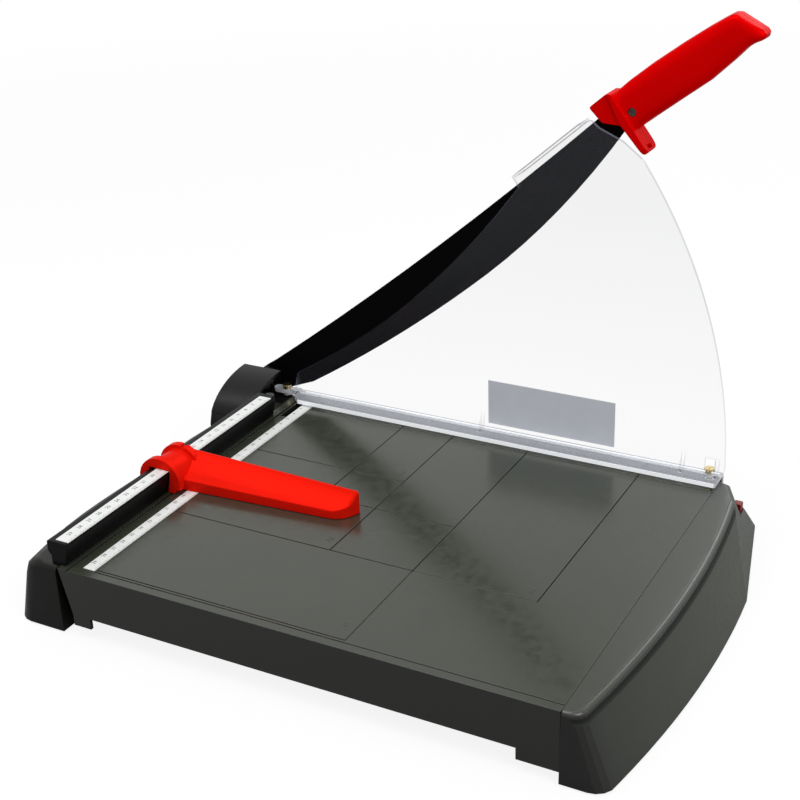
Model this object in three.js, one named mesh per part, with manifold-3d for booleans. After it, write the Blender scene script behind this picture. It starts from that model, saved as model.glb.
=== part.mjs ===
// Guillotine paper cutter for sheets up to 350 mm, millimetres, +Z up.
// The operator stands at -Y. X = 0 is the cutting plane, Y = 0 the paper stop, Z = 0 the table.
import * as THREE from 'three';
import { mergeVertices } from 'three/addons/utils/BufferGeometryUtils.js';
import Module from 'manifold-3d';

const wasm = await Module();
wasm.setup();

// General
const fit = 0.3;              // gap between pieces that seat on each other
const slide = 0.4;            // gap between pieces that move past each other
const plateGap = 0.15;        // gap between stacked plates
const overrun = 2;            // how far every cut runs past the face it opens
const roundSides = 24;        // facets of a plain round piece
const hexSides = 6;
const bowPeak = 4;            // makes share times the rest of the share peak at one
const knee = 0.29;            // middle of a small rounding, as a share of its radius

// Board
const boardWidth = 306;       // cutting plane to the long side
const boardDepth = 352;       // paper stop to the front seam
const boardTop = 50;          // table to the paper surface
const boardBack = 3.4;        // seam behind the paper stop
const boardSkin = 3;
const boardSideDepth = 34;    // height of the long side wall
const boardWall = 2.8;
const boardWallLean = 8;      // slant of the wall's rear end
const lugDepth = 8;           // feet of the long wall at its two ends
const rearLugLength = 14;
const frontLugLength = 27;
const lugThickness = 2.4;
const ribDepth = 15;
const crossRibDepth = 13;
const ribThickness = 2;
const lengthRibCount = 4;
const crossRibCount = 4;
const lineWidth = 0.9;        // engraved format lines
const lineDepth = 0.5;
const crossLineShare = 0.8;   // depth of the lengthwise lines against the crosswise ones
const borderInset = 7;        // border line along the long side
const sheetSizes = [105, 148, 210, 297];
const stripEdge = 12.5;       // rear edge of the scale strip from the paper stop
const stripWidth = 9;
const stripThickness = 0.6;
const stripSunk = 0.4;
const stripStart = 20;        // from the cutting plane
const hubSlotStart = 22;      // slot beside the hub, from the cutting plane
const hubSlotLength = 25;
const hubSlotBack = 6.5;
const hubSlotWidth = 5;
const frontNotchStart = 5;    // notch at the front seam, from the cutting plane
const frontNotchLength = 22;
const frontNotchWidth = 2.4;
const stopGrooveWidth = 2;    // groove at the foot of the paper stop
const stopGrooveDepth = 1.5;
const stopGrooveEdge = 3.4;

// Front and rear beams, each value first at the top edge and then at the table
const seam = 0.3;             // joint between the board and a beam
const beamGround = 1.5;       // underside above the table
const beamWall = 2.6;
const beamRound = 3;          // rounding of the top edge
const beamRoundSteps = 3;
const beamLength = [306, 308];
const beamBow = 12;           // how far a beam's middle stands proud of its ends
const beamBowHalf = 140;
const beamBowMiddle = [150, 140];
const beamCorner = [10, 13];
const frontReach = [25.2, 44.7];
const frontFacetStart = [34, 79];
const frontFacetSide = [-11.5, 22.5];
const frontFacetReach = [6.5, 19.7];
const frontEndSide = [-9, 22.5];
const rearReach = [34, 56];
const rearFacetStart = [70, 80];
const rearFacetSide = [-6, 22.5];
const rearFacetReach = [25, 32];
const rearEndSide = [-1, 22.5];
const bowSteps = 12;
const cornerSteps = 4;

// Ledge that takes the finger guard, at the front beam's blade end
const ledgeStart = 10;        // from the cutting plane, over the board
const ledgeTop = 22.4;

// Hub of the rear beam
const hubWidth = 67;          // cutting plane to the hub's foot
const hubFront = 13;          // behind the paper stop
const hubBack = 48;
const hubCrest = 13;          // cutting plane to the crest of the cover
const hubRise = 30.8;
const hubSpring = 41;         // height where the cover's curve begins
const hubWall = 2.5;
const hubSteps = 12;
const hubSideGap = 0.8;       // hub to the cutting plane
const armBayFloor = 26;       // top of the rear beam under the arm
const hubLeanShare = 0.05;    // slant of the cover's side above its spring
const hubCeiling = 9;         // solid seat under the bracket

// Rubber feet
const footRadius = 10;
const footHeight = 3.2;
const footSpigotRadius = 4;
const footSpigotHeight = 7;
const footBossRadius = 8;
const footPlaces = [[30, 16], [278, 16]];   // from the cutting plane, from the seam

// Screws between beams and board
const tabWidth = 26;
const tabLength = 22;
const tabThickness = 3;
const tabGround = 6;
const tabPlaces = [70, 235];
const bossRadius = 5;
const beamScrewRadius = 2;
const beamScrewHead = 3.8;
const beamScrewHeadHeight = 2.2;
const beamScrewLength = 14;
const tabScrewInset = 12;     // screw from the seam

// Fixed blade
const fixedBladeThickness = 4;
const fixedBladeHeight = 24;
const fixedBladeBack = 2;     // behind the paper stop
const fixedScrewShares = [0.057, 0.352, 0.648, 0.943];   // along the board's depth
const fixedScrewDrop = 13;
const fixedScrewHead = 4.4;
const fixedScrewRadius = 2.2;
const fixedScrewLength = 11;
const fixedScrewHeadHeight = 2.4;
const flushSink = 0.15;       // screw heads below the shear face

// Pivot
const pivotBack = 31.5;       // behind the paper stop
const pivotRise = 6.2;        // above the board
const pivotRadius = 4;
const armRestAngle = 40.5;    // degrees above the closed position's level
const bracketThickness = 4;
const bracketFlange = 3;
const bracketWidth = 26;      // flange, along X
const bracketFront = 5;       // flange ends, behind the paper stop
const bracketBack = 44;
const bracketEye = 11.5;
const bracketPlane = 0.9;     // upright's face to the cutting plane
const bracketScrewPlaces = [[21.5, 38], [21.5, 20]];
const shimRadius = 10;
const shimThickness = 1;
const boltHeadRadius = 5.8;
const boltHeadHeight = 4.5;
const boltEnd = 19;           // from the cutting plane, outside
const washerRadius = 9;
const washerThickness = 1.6;
const nutFlat = 13;
const nutHeight = 6;

// Cutting blade and arm bar, along the arm (s) and above its axis (d)
const bladePlane = 0.3;       // flat face to the cutting plane
const bladeThickness = 3;
const bladeEnd = 385;
const bladeEdge = 0.5;        // land at the cutting edge
const bladeBevel = 5;
const barThickness = 5;
const barInHandle = 95;       // bar's end past the handle's start
const barTangHeight = 13;
const barTangDrop = 14;
const barTangRound = 4.3;
const barFallShare = 0.042;   // rise of the bar's lower edge towards the handle
const armEye = 11.5;
const armTopStart = 11;       // arm's back above its axis at the pivot
const armTopMiddle = 1.8;
const armTopEnd = 3;
const edgeStart = 34;         // cutting edge: place along the arm
const edgeStartDrop = 23;
const edgeBelly = 222;
const edgeBellyDrop = 37.2;
const edgeEndDrop = 14.5;
const edgeSteps = 18;
const barInset = 12;          // bar's lower edge above the cutting edge
const bladeScrewPlaces = [[360, 9], [290, 13.5]];
const bladeScrewRadius = 3;
const bladeScrewHead = 5.2;
const bladeScrewHeadHeight = 2;
const bladeNutHeight = 4;
const bladeNutFlat = 10;

// Handle, on the arm's axes; stations count from the handle's start
const bladeInHandle = 12;
const handleMiddle = 6;       // parting plane from the cutting plane
const handleGap = 0.2;
const collarHalf = 10.2;
const collarTop = 12;
const collarRound = 1.5;
const collarNose = [1.1, -1.5];
const collarHeel = [12.4, -12.5];
const guardSides = [-6.2, 14];    // near and far side of the guard plate
const guardRear = [[16.3, 10.8], [12.3, -5.8], [11.5, -10.5], [11.8, -36.3]];
const guardFront = [[15.6, -36.3], [17, -16], [18.4, 10.8]];
const guardCorner = 5;        // rounding of the plate's lower corners
const guardEdgeRound = 0.9;
const guardPocket = [-34.5, -31.6];   // pocket that takes the latch
const guardPocketDepth = 2.7;
const guardPocketGap = 0.6;
const gripStations = [15, 32, 52, 77, 97, 109, 114, 116.5, 119, 121.5];
const gripTops = [9.2, 9.8, 9.2, 7.2, 5, 3.2, 2.2, 0.2, -6.4, -12.4];
const gripDrops = [19.4, 20.2, 21.4, 23, 21.9, 20.7, 21.2, 21.9, 22.6, 22.9];
const gripHalves = [9.4, 9.8, 10, 10, 10, 10, 10, 9.8, 9.2, 8.2];
const gripEnd = 123.5;
const gripTipTop = -17;
const gripTipDrop = 21.4;
const gripTipHalf = 6.2;
const gripSides = 14;
const gripFlatShare = 0.42;   // squareness of the grip's sides and of its top
const gripCrownShare = 0.66;
const handleScrewStation = 22.5;
const handleScrewDrop = 8.3;
const handleScrewRadius = 1.6;
const handleScrewHead = 2.8;
const handleScrewHalf = 8.8;  // outer face of head and nut from the parting plane
const handleScrewHeadHeight = 2.2;
const handleNutFlat = 4.8;

// Shield
const shieldPlane = 7;        // sheet's near face to the cutting plane
const shieldThickness = 3;
const shieldReach = 386.3;    // arc about the arm's pivot
const shieldLowAngle = 0.4;   // degrees
const shieldHighAngle = 34.9;
const shieldArcSteps = 22;
const shieldBack = -1;        // rear end of the sheet, behind the paper stop
const shieldBackRise = 21;
const shieldEdgeBefore = 76;  // end of the hollow rear edge, before the handle's start
const shieldEdgeDrop = 1.4;
const shieldSag = 13.3;       // hollow of that edge
const shieldEdgeSteps = 10;
const lipStartBefore = 75;    // lip over the arm's back, before the handle's start
const lipEndBefore = 12;
const lipTop = 7.6;
const lipThickness = 2;
const lipOver = 12;           // lip past the cutting plane
const cornerCut = [[7.6, -20], [-0.6, -3], [-1.8, 4]];   // edge beside the handle, from its start
const footWidth = 18.5;       // pressing foot, from the sheet's face
const footRise = 1.8;         // above the board
const footThickness = 3.5;
const footFrontOver = 1;      // past the front seam
const footBack = -9;          // full width begins, before the paper stop
const footCorner = 1.5;
const tongueWidth = 7.4;
const tongueMiddle = 9;       // from the cutting plane
const tongueBack = 22;        // behind the paper stop
const tongueNeck = 3;         // narrowing behind the paper stop
const tongueRoundShare = 0.45;
const footFillet = 2.6;
const gussetPlaces = [2, 167, 325, 350];
const gussetHeight = 14;
const gussetFoot = 9;
const gussetThickness = 2.5;
const footPocketHeight = 10.5;   // clearance over the screws
const shieldScrewBack = 10.5; // rear screw behind the paper stop
const shieldScrewInset = 8;   // front screw inside the front seam
const shieldScrewRadius = 1.8;
const shieldScrewHead = 3.6;
const shieldScrewHeadHeight = 3;
const slotFloorShare = 0.6;
const shieldScrewEnd = 33;    // height of the screw's point

// Sprung shield
const springRadius = 3.1;     // middle of the wire
const springWire = 0.8;
const springCurls = 5;
const springFloor = 43;
const springHole = 4.2;
const springBossRadius = 6.5;
const springCurlSteps = 8;
const springSides = 5;

// Label plate on the shield
const labelStart = 171.5;     // from the paper stop
const labelLength = 101;
const labelRise = 10.5;
const labelHeight = 35.5;
const labelThickness = 0.4;

// Rail
const railStart = 48;         // from the cutting plane
const railEnd = 302;
const railHeight = 17;
const railHeadFront = 3.4;    // before the paper stop
const railFootFront = 0.2;
const railHeadBack = 13;
const railFootBack = 10.5;
const railLip = 9;
const railCorner = 1.6;
const railWall = 2.2;
const railStripWidth = 10.4;
const railStripThickness = 0.5;
const railStripMiddle = 1.8;  // behind the paper stop
const railStripStart = 54;
const railScrewPlaces = [85, 265];
const railScrewBack = 7.5;    // behind the paper stop
const railScrewRise = 6.6;

// Sliding paper guide
const guideFace = 157;        // paper face from the cutting plane
const guideLength = 143;      // tip from the paper stop
const guideRootWidth = 26;
const guideTipWidth = 17;
const guideRootHeight = 21;
const guideTipHeight = 17;
const guideLowRootHeight = 9;
const guideLowTipHeight = 6.5;
const guideTipRake = 8;       // tip's slant across its width
const guideDish = 1.5;
const guideRim = 2.2;
const guideRimFall = 0.7;
const guideRimSlope = 0.6;
const guideEdgeRound = 1.4;
const guideLowCorner = 8;     // plan rounding of the tip, low side and tall side
const guideTallCorner = 3;
const guideNose = 2.2;        // rounding of the top into the tip
const guideWall = 2;
const guideRoofShare = 1.3;   // wall under the sloping top against the side walls
const guideSteps = 5;
const guideCornerSteps = 4;
const guideDishSteps = 6;
const saddleMiddle = 5;       // arch centre behind the paper stop
const saddleRise = 8;         // arch centre above the board
const saddleRadius = 14.6;
const saddleGap = 0.9;        // saddle to rail, over the strip
const saddleRing = 17.6;
const saddleRingWidth = 5.5;
const saddleRingFoot = 3.5;   // rings end above the board
const saddleStart = 160;
const saddleEnd = 190;
const saddleSteps = 16;
const readNotch = [0, 3];     // notch in the far ring over the scale
const readNotchRise = 23.2;
const leafLength = 20;        // friction spring in the saddle
const leafHeight = 6;
const leafThickness = 0.5;
const leafBow = 0.7;
const leafPocket = 1.6;
const leafSteps = 8;

// Latch
const latchSides = [0, 6];    // outside the cutting plane
const latchStem = [11.4, 14]; // outside the front seam
const latchNose = 8.2;
const latchTop = 28.8;
const latchNoseHeight = 1.8;
const latchRound = 1.2;
const latchTravel = 4.2;
const latchSkirt = 1;         // shoulder round the stem
const latchFlange = 1.5;
const latchBar = [5.6, 8.2];  // cross bar to the finger tab
const latchTabSpan = [3.4, 11];
const latchTabPlace = [8, 15.5];
const latchTabThickness = 2.2;

// Derived places
const handleStart = bladeEnd - bladeInHandle;
const barEnd = handleStart + barInHandle;
const shieldEdgeEnd = handleStart - shieldEdgeBefore;
const lipStart = handleStart - lipStartBefore;
const lipEnd = handleStart - lipEndBefore;
const handleScrewAlong = handleStart + handleScrewStation;
const shieldScrewPlaces = [-shieldScrewBack, boardDepth - shieldScrewInset];
const footFront = boardDepth + footFrontOver;
const fixedScrewPlaces = fixedScrewShares.map((share) => share * boardDepth);
const latchFront = -boardDepth - latchStem[1];
const latchRear = -boardDepth - latchStem[0];

// Materials
function finish(color, roughness, metalness) {
  return new THREE.MeshStandardMaterial({ color, roughness, metalness });
}

const charcoal = () => finish('#4b4d46', 0.6, 0);
const black = () => finish('#141414', 0.5, 0);
const blackSteel = () => finish('#17181a', 0.45, 0.3);
const steel = () => finish('#b4b8bd', 0.3, 1);
const zinc = () => finish('#c3c6c9', 0.35, 1);
const brass = () => finish('#c9a646', 0.3, 1);
const red = () => finish('#c80a08', 0.35, 0);
const brightRed = () => finish('#e8281e', 0.35, 0);
const rubber = () => finish('#1b1b1b', 0.9, 0);
const white = () => finish('#e9e9e4', 0.5, 0);
const silver = () => finish('#b5b9c4', 0.5, 0.2);
const nylon = () => finish('#d9d4c4', 0.6, 0);
const clear = () => new THREE.MeshStandardMaterial({
  color: '#eef2f3', roughness: 0.1, metalness: 0, transparent: true, opacity: 0.3,
});

// Working with solids
const axisX = new THREE.Vector3(1, 0, 0);
const axisY = new THREE.Vector3(0, 1, 0);
const axisZ = new THREE.Vector3(0, 0, 1);

function solid(geometry) {
  const bare = geometry.clone();
  bare.deleteAttribute('normal');
  bare.deleteAttribute('uv');
  const merged = mergeVertices(bare);
  return new wasm.Manifold(new wasm.Mesh({
    numProp: 3,
    vertProperties: new Float32Array(merged.attributes.position.array),
    triVerts: new Uint32Array(merged.index.array),
  }));
}

// Height share of a bow over its span
function bowed(share) {
  return bowPeak * share * (1 - share);
}

function join(...bodies) {
  return bodies.reduce((whole, body) => whole.add(body));
}

function cut(body, ...tools) {
  return tools.reduce((rest, tool) => rest.subtract(tool), body);
}

function mesh(name, body, material) {
  const data = body.getMesh();
  const geometry = new THREE.BufferGeometry();
  geometry.setAttribute('position', new THREE.BufferAttribute(new Float32Array(data.vertProperties), 3));
  geometry.setIndex(new THREE.BufferAttribute(new Uint32Array(data.triVerts), 1));
  const flat = geometry.toNonIndexed();
  flat.computeVertexNormals();
  const piece = new THREE.Mesh(flat, material);
  piece.name = name;
  return piece;
}

// Equal pieces, numbered from 1
function meshes(name, bodies, material) {
  return bodies.map((body, i) => mesh(`${name}_${i + 1}`, body, material()));
}

function box(x0, x1, y0, y1, z0, z1) {
  const geometry = new THREE.BoxGeometry(x1 - x0, y1 - y0, z1 - z0);
  geometry.translate((x0 + x1) / 2, (y0 + y1) / 2, (z0 + z1) / 2);
  return solid(geometry);
}

function extruded(outline, depth) {
  const shape = new THREE.Shape(outline.map(([a, b]) => new THREE.Vector2(a, b)));
  return new THREE.ExtrudeGeometry(shape, { depth, bevelEnabled: false });
}

// Prism of a (y, z) outline along X
function prismX(outline, x0, x1) {
  const geometry = extruded(outline, x1 - x0);
  geometry.applyMatrix4(new THREE.Matrix4().makeBasis(axisY, axisZ, axisX));
  return solid(geometry.translate(x0, 0, 0));
}

// Prism of an (x, z) outline along Y
function prismY(outline, y0, y1) {
  const geometry = extruded(outline, y1 - y0);
  geometry.applyMatrix4(new THREE.Matrix4().makeBasis(axisX, axisZ, axisY.clone().negate()));
  return solid(geometry.translate(0, y1, 0));
}

// Prism of an (x, y) outline along Z
function prismZ(outline, z0, z1) {
  return solid(extruded(outline, z1 - z0).translate(0, 0, z0));
}

function rodX(y, z, radius, x0, x1, sides = roundSides) {
  const geometry = new THREE.CylinderGeometry(radius, radius, x1 - x0, sides);
  geometry.rotateZ(Math.PI / 2);
  return solid(geometry.translate((x0 + x1) / 2, y, z));
}

function coneX(y, z, radius0, radius1, x0, x1) {
  const geometry = new THREE.CylinderGeometry(radius0, radius1, x1 - x0, roundSides);
  geometry.rotateZ(Math.PI / 2);
  return solid(geometry.translate((x0 + x1) / 2, y, z));
}

function rodZ(x, y, radius, z0, z1, sides = roundSides) {
  const geometry = new THREE.CylinderGeometry(radius, radius, z1 - z0, sides);
  geometry.rotateX(Math.PI / 2);
  return solid(geometry.translate(x, y, (z0 + z1) / 2));
}

function arc(a, b, radiusA, radiusB, from, to, steps) {
  return Array.from({ length: steps + 1 }, (_, i) => {
    const angle = from + (to - from) * i / steps;
    return [a + radiusA * Math.cos(angle), b + radiusB * Math.sin(angle)];
  });
}

// Outline whose corners given as [a, b, radius] are rounded
function rounded(corners, steps = cornerSteps) {
  return corners.flatMap(([a, b, radius], i) => {
    if (!radius) return [[a, b]];
    const here = new THREE.Vector2(a, b);
    const before = corners[(i + corners.length - 1) % corners.length];
    const after = corners[(i + 1) % corners.length];
    const back = new THREE.Vector2(before[0], before[1]).sub(here).normalize();
    const ahead = new THREE.Vector2(after[0], after[1]).sub(here).normalize();
    const half = Math.acos(THREE.MathUtils.clamp(back.dot(ahead), -1, 1)) / 2;
    const start = here.clone().addScaledVector(back, radius / Math.tan(half));
    const middle = back.clone().add(ahead).normalize().multiplyScalar(radius / Math.sin(half)).add(here);
    const turn = Math.sign(back.x * ahead.y - back.y * ahead.x) * (Math.PI - 2 * half);
    return Array.from({ length: steps + 1 }, (_, k) => {
      const point = start.clone().rotateAround(middle, -turn * k / steps);
      return [point.x, point.y];
    });
  });
}

// Closed body through rings of equal count; flat() gives a ring's own plane for its end cap
function loft(rings, flat) {
  const count = rings[0].length;
  const points = rings.flat();
  const faces = [];
  for (let r = 0; r + 1 < rings.length; r += 1) {
    for (let i = 0; i < count; i += 1) {
      const a = r * count + i;
      const b = r * count + (i + 1) % count;
      faces.push([a, b, b + count], [a, b + count, a + count]);
    }
  }
  const cap = (ring, start, alongEdge) => {
    const contour = ring.map((point) => new THREE.Vector2(...flat(point)));
    const triangles = THREE.ShapeUtils.triangulateShape(contour, []);
    const follows = triangles.some(([a, b, c]) => (
      [[a, b], [b, c], [c, a]].some(([p, q]) => p === 0 && q === 1)));
    triangles.forEach(([a, b, c]) => faces.push(
      follows === alongEdge ? [start + a, start + b, start + c] : [start + a, start + c, start + b],
    ));
  };
  cap(rings[0], 0, false);
  cap(rings[rings.length - 1], count * (rings.length - 1), true);
  const volume = faces.reduce((sum, [a, b, c]) => sum + points[a].dot(points[b].clone().cross(points[c])), 0);
  const index = faces.flatMap(([a, b, c]) => (volume > 0 ? [a, b, c] : [a, c, b]));
  const geometry = new THREE.BufferGeometry().setFromPoints(points);
  geometry.setIndex(index);
  return solid(geometry);
}

const degrees = THREE.MathUtils.degToRad;
const mix = THREE.MathUtils.lerp;

// Beam at the board's front or rear end
const frontBeam = {
  seamY: -boardDepth - seam, way: -1, reach: frontReach, facetStart: frontFacetStart,
  facetSide: frontFacetSide, facetReach: frontFacetReach, endSide: frontEndSide,
};
const rearBeam = {
  seamY: boardBack + seam, way: 1, reach: rearReach, facetStart: rearFacetStart,
  facetSide: rearFacetSide, facetReach: rearFacetReach, endSide: rearEndSide,
};

// Plan outline of a beam at a level from 0, the top, to 1, the table; inset moves it inwards
function beamOutline(beam, level, inset, seamInset = 0) {
  const at = ([top, table]) => mix(top, table, level);
  const bow = (x) => at(beam.reach) - beamBow * ((x + at(beamBowMiddle)) / beamBowHalf) ** 2;
  const left = -at(beamLength);
  const facet = -at(beam.facetStart);
  const corner = at(beamCorner);
  const curve = Array.from({ length: bowSteps + 1 }, (_, i) => {
    const x = mix(left + corner, facet, i / bowSteps);
    return [x, bow(x)];
  });
  const middle = bow(left + corner) - corner;
  const turn = arc(left + corner, middle, corner, corner, Math.PI, Math.PI / 2, cornerSteps);
  const shoulder = [at(beam.facetSide), at(beam.facetReach)];
  const plan = [[left, 0], ...turn.slice(0, -1), ...curve, shoulder, [at(beam.endSide), 0]];
  return insetOutline(plan, inset, seamInset).map(([x, reach]) => [x, beam.seamY + beam.way * reach]);
}

// Moves an outline inwards; its first and last points keep to the seam side
function insetOutline(plan, inset, seamInset) {
  const last = plan.length - 1;
  return plan.map(([x, reach], i) => {
    if (i === 0) return [x + inset, seamInset];
    if (i === last) return [x - inset, seamInset];
    const [px, py] = plan[i - 1];
    const [nx, ny] = plan[i + 1];
    const before = new THREE.Vector2(px - x, py - reach).normalize();
    const after = new THREE.Vector2(nx - x, ny - reach).normalize();
    const across = after.clone().sub(before).normalize();
    const inward = new THREE.Vector2(across.y, -across.x);
    const stretch = 1 / Math.max(Math.abs(inward.x * after.y - inward.y * after.x), 0.5);
    return [x + inward.x * inset * stretch, Math.max(reach + inward.y * inset * stretch, seamInset + fit)];
  });
}

function beamRing(beam, z, inset, seamInset) {
  const level = (boardTop - z) / (boardTop - beamGround);
  return beamOutline(beam, level, inset, seamInset).map(([x, y]) => new THREE.Vector3(x, y, z));
}

function beamOuter(beam) {
  const rings = [beamRing(beam, beamGround, 0, 0)];
  for (let i = 0; i <= beamRoundSteps; i += 1) {
    const angle = (Math.PI / 2) * i / beamRoundSteps;
    const z = boardTop - beamRound * (1 - Math.sin(angle));
    rings.push(beamRing(beam, z, beamRound * (1 - Math.cos(angle)), 0));
  }
  return loft(rings, (p) => [p.x, p.y]);
}

function beamInner(beam) {
  const rings = [
    beamRing(beam, beamGround - overrun, beamWall, beamWall),
    beamRing(beam, boardTop - beamRound, beamWall, beamWall),
    beamRing(beam, boardTop - beamWall, beamWall + beamRound, beamWall),
  ];
  return loft(rings, (p) => [p.x, p.y]);
}

// Posts that carry the rubber feet and tabs that carry the board
function beamPosts(beam) {
  return join(...footPlaces.map(([x, reach]) => rodZ(
    -x, beam.seamY + beam.way * reach, footBossRadius, footHeight + fit, boardTop - beamWall / 2,
  ))).intersect(beamOuter(beam));
}

function beamTabs(beam) {
  return join(...tabPlaces.map((x) => {
    const inner = beam.seamY - beam.way * tabLength;
    const outer = beam.seamY + beam.way * beamWall;
    return box(-x - tabWidth / 2, -x + tabWidth / 2, Math.min(inner, outer), Math.max(inner, outer),
      tabGround, tabGround + tabThickness);
  }));
}

function footHoles(beam) {
  return footPlaces.map(([x, reach]) => rodZ(
    -x, beam.seamY + beam.way * reach, footSpigotRadius + fit, 0, footHeight + footSpigotHeight + fit * 2,
  ));
}

function tabHoles(beam) {
  const y = beam.seamY - beam.way * tabScrewInset;
  return tabPlaces.map((x) => rodZ(
    -x, y, beamScrewRadius + fit, tabGround - overrun, tabGround + tabThickness + overrun,
  ));
}

// Room over the ledge, grown for the inside of the wall
function ledgeRoom(grow) {
  return box(-ledgeStart - grow, frontEndSide[1] + overrun, -boardDepth - frontReach[1] - overrun,
    -boardDepth - seam + overrun, ledgeTop - grow, boardTop + overrun);
}

function frontBeamMesh() {
  const shell = cut(beamOuter(frontBeam), cut(beamInner(frontBeam), ledgeRoom(beamWall)));
  const body = join(shell, beamPosts(frontBeam), beamTabs(frontBeam));
  return mesh('front_beam', cut(body, ledgeRoom(0), ...footHoles(frontBeam), ...tabHoles(frontBeam),
    ...latchSlots()), charcoal());
}

// Slots for the latch in the ledge and in the beam's end face
function latchSlots() {
  const front = latchFront - slide;
  const rear = latchRear + latchTravel + slide;
  return [
    box(latchSides[0] - slide, latchSides[1] + slide, front, rear, ledgeTop - beamWall - overrun, boardTop),
    box(latchSides[1], frontEndSide[1] + overrun, front, rear, latchBar[0] - slide, latchBar[1] + slide),
  ];
}

function hubBody(inset) {
  const profile = [
    [-hubWidth + inset, beamGround - (inset ? overrun : 0)],
    [-hubWidth + inset, hubSpring],
    [-hubWidth + inset + (hubWidth - hubCrest) * hubLeanShare, boardTop - (inset ? hubCeiling : 0)],
    [-hubSideGap - inset, boardTop - (inset ? hubCeiling : 0)],
    [-hubSideGap - inset, beamGround - (inset ? overrun : 0)],
  ];
  return prismY(profile, rearBeam.seamY + inset, hubBack - inset);
}

function rearBeamMesh() {
  const bay = (grow) => box(-hubSideGap - grow, rearEndSide[1] + overrun, boardBack - overrun,
    rearBeam.seamY + rearReach[1] + overrun, armBayFloor - grow, boardTop + overrun);
  const outer = cut(join(beamOuter(rearBeam), hubBody(0)), bay(0));
  const inner = cut(join(beamInner(rearBeam), hubBody(beamWall)), bay(beamWall), hubSeat());
  const body = join(cut(outer, inner), beamPosts(rearBeam), beamTabs(rearBeam));
  return mesh('rear_beam', cut(body, ...footHoles(rearBeam), ...tabHoles(rearBeam), bracketPocket(),
    springPocket(shieldScrewPlaces[0]), ...bracketScrews(fit), ...railScrews(fit)), charcoal());
}

// Solid block under the bracket and the rear spring
function hubSeat() {
  return box(-bracketWidth - bracketPlane - beamWall, 0, rearBeam.seamY, bracketBack + beamWall,
    springFloor - beamWall, boardTop);
}

function bracketPocket() {
  return box(-bracketPlane - bracketWidth - fit, 0, bracketFront - fit, bracketBack + fit,
    boardTop - bracketFlange - fit, boardTop + overrun);
}

function springPocket(place) {
  return join(
    rodZ(-tongueMiddle, -place, springHole, springFloor, boardTop + overrun),
    rodZ(-tongueMiddle, -place, shieldScrewRadius + fit, shieldScrewEnd - fit, springFloor + overrun),
  );
}

// Board with walls, ribs and bosses below and the engraved formats above
const boardRight = -fixedBladeThickness - fit;

// Upside-down tray: profile along the sides, hollowed from below
function boardTray() {
  const low = boardTop - boardSideDepth;
  const lug = low - lugDepth;
  const rear = boardBack - boardWallLean;
  const outer = prismX([
    [-boardDepth, boardTop], [-boardDepth, lug], [-boardDepth + frontLugLength, lug],
    [-boardDepth + frontLugLength, low], [rear - rearLugLength, low], [rear - rearLugLength, lug],
    [rear, lug], [rear, low], [boardBack, boardTop],
  ], -boardWidth, boardRight);
  const hollow = prismX([
    [-boardDepth + boardWall, boardTop - boardSkin], [-boardDepth + boardWall, lug - overrun],
    [rear - boardWall, lug - overrun], [rear - boardWall, low], [boardBack - boardWall, boardTop - boardSkin],
  ], -boardWidth + boardWall, boardRight - boardWall);
  const open = box(-boardWidth + lugThickness, boardRight + overrun, -boardDepth - overrun, boardBack + overrun,
    lug - overrun, low);
  return cut(outer, hollow, open);
}

function boardRibs() {
  const ribs = [];
  for (let i = 1; i <= lengthRibCount; i += 1) {
    const x = mix(-boardWidth, boardRight, i / (lengthRibCount + 1));
    ribs.push(box(x, x + ribThickness, -boardDepth + boardWall / 2, boardBack - boardWallLean,
      boardTop - ribDepth, boardTop - boardSkin / 2));
  }
  for (let i = 1; i <= crossRibCount; i += 1) {
    const y = mix(-boardDepth, boardBack, i / (crossRibCount + 1));
    ribs.push(box(-boardWidth + boardWall / 2, boardRight - boardWall / 2, y, y + ribThickness,
      boardTop - crossRibDepth, boardTop - boardSkin / 2));
  }
  return join(...ribs);
}

function boardBosses() {
  const low = tabGround + tabThickness + fit;
  const high = boardTop - boardSkin / 2;
  const rows = [frontBeam, rearBeam].map((beam) => beam.seamY - beam.way * tabScrewInset);
  const posts = rows.flatMap((y) => tabPlaces.map((x) => rodZ(-x, y, bossRadius, low, high)));
  const seat = rodZ(-tongueMiddle, -shieldScrewPlaces[1], springBossRadius, shieldScrewEnd - fit * 2, high);
  const bounds = box(-boardWidth, boardRight - fit, -boardDepth, boardBack, 0, boardTop);
  return join(...posts, seat.intersect(bounds));
}

// Engraved outlines of the sheet formats
function formatLines() {
  const high = boardTop + overrun;
  const scaleFront = stripEdge + stripWidth;
  const last = sheetSizes.length - 1;
  const half = lineWidth / 2;
  const across = sheetSizes.map((size, i) => box(-sheetSizes[i < last ? i + 1 : last - 1], overrun,
    -size - half, -size + half, boardTop - lineDepth, high));
  const along = sheetSizes.map((size, i) => box(-size - half, -size + half,
    -sheetSizes[i < last ? i + 1 : last - 1], -scaleFront, boardTop - lineDepth * crossLineShare, high));
  const border = box(-boardWidth + borderInset - lineWidth, -boardWidth + borderInset,
    -boardDepth - overrun, -scaleFront, boardTop - lineDepth * crossLineShare, high);
  return [...across, ...along, border];
}

function boardOpenings() {
  const through = boardTop - ribDepth - overrun;
  return [
    box(-boardWidth + borderInset, -stripStart + fit, -stripEdge - stripWidth - fit, -stripEdge + fit,
      boardTop - stripSunk, boardTop + overrun),
    box(-hubSlotStart - hubSlotLength, -hubSlotStart, -hubSlotBack - hubSlotWidth, -hubSlotBack,
      through, boardTop + overrun),
    box(-frontNotchStart - frontNotchLength, -frontNotchStart, -boardDepth - overrun,
      -boardDepth + frontNotchWidth, through, boardTop + overrun),
    box(-boardWidth - overrun, overrun, -stopGrooveEdge - stopGrooveWidth, -stopGrooveEdge,
      boardTop - stopGrooveDepth, boardTop + overrun),
  ];
}

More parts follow.
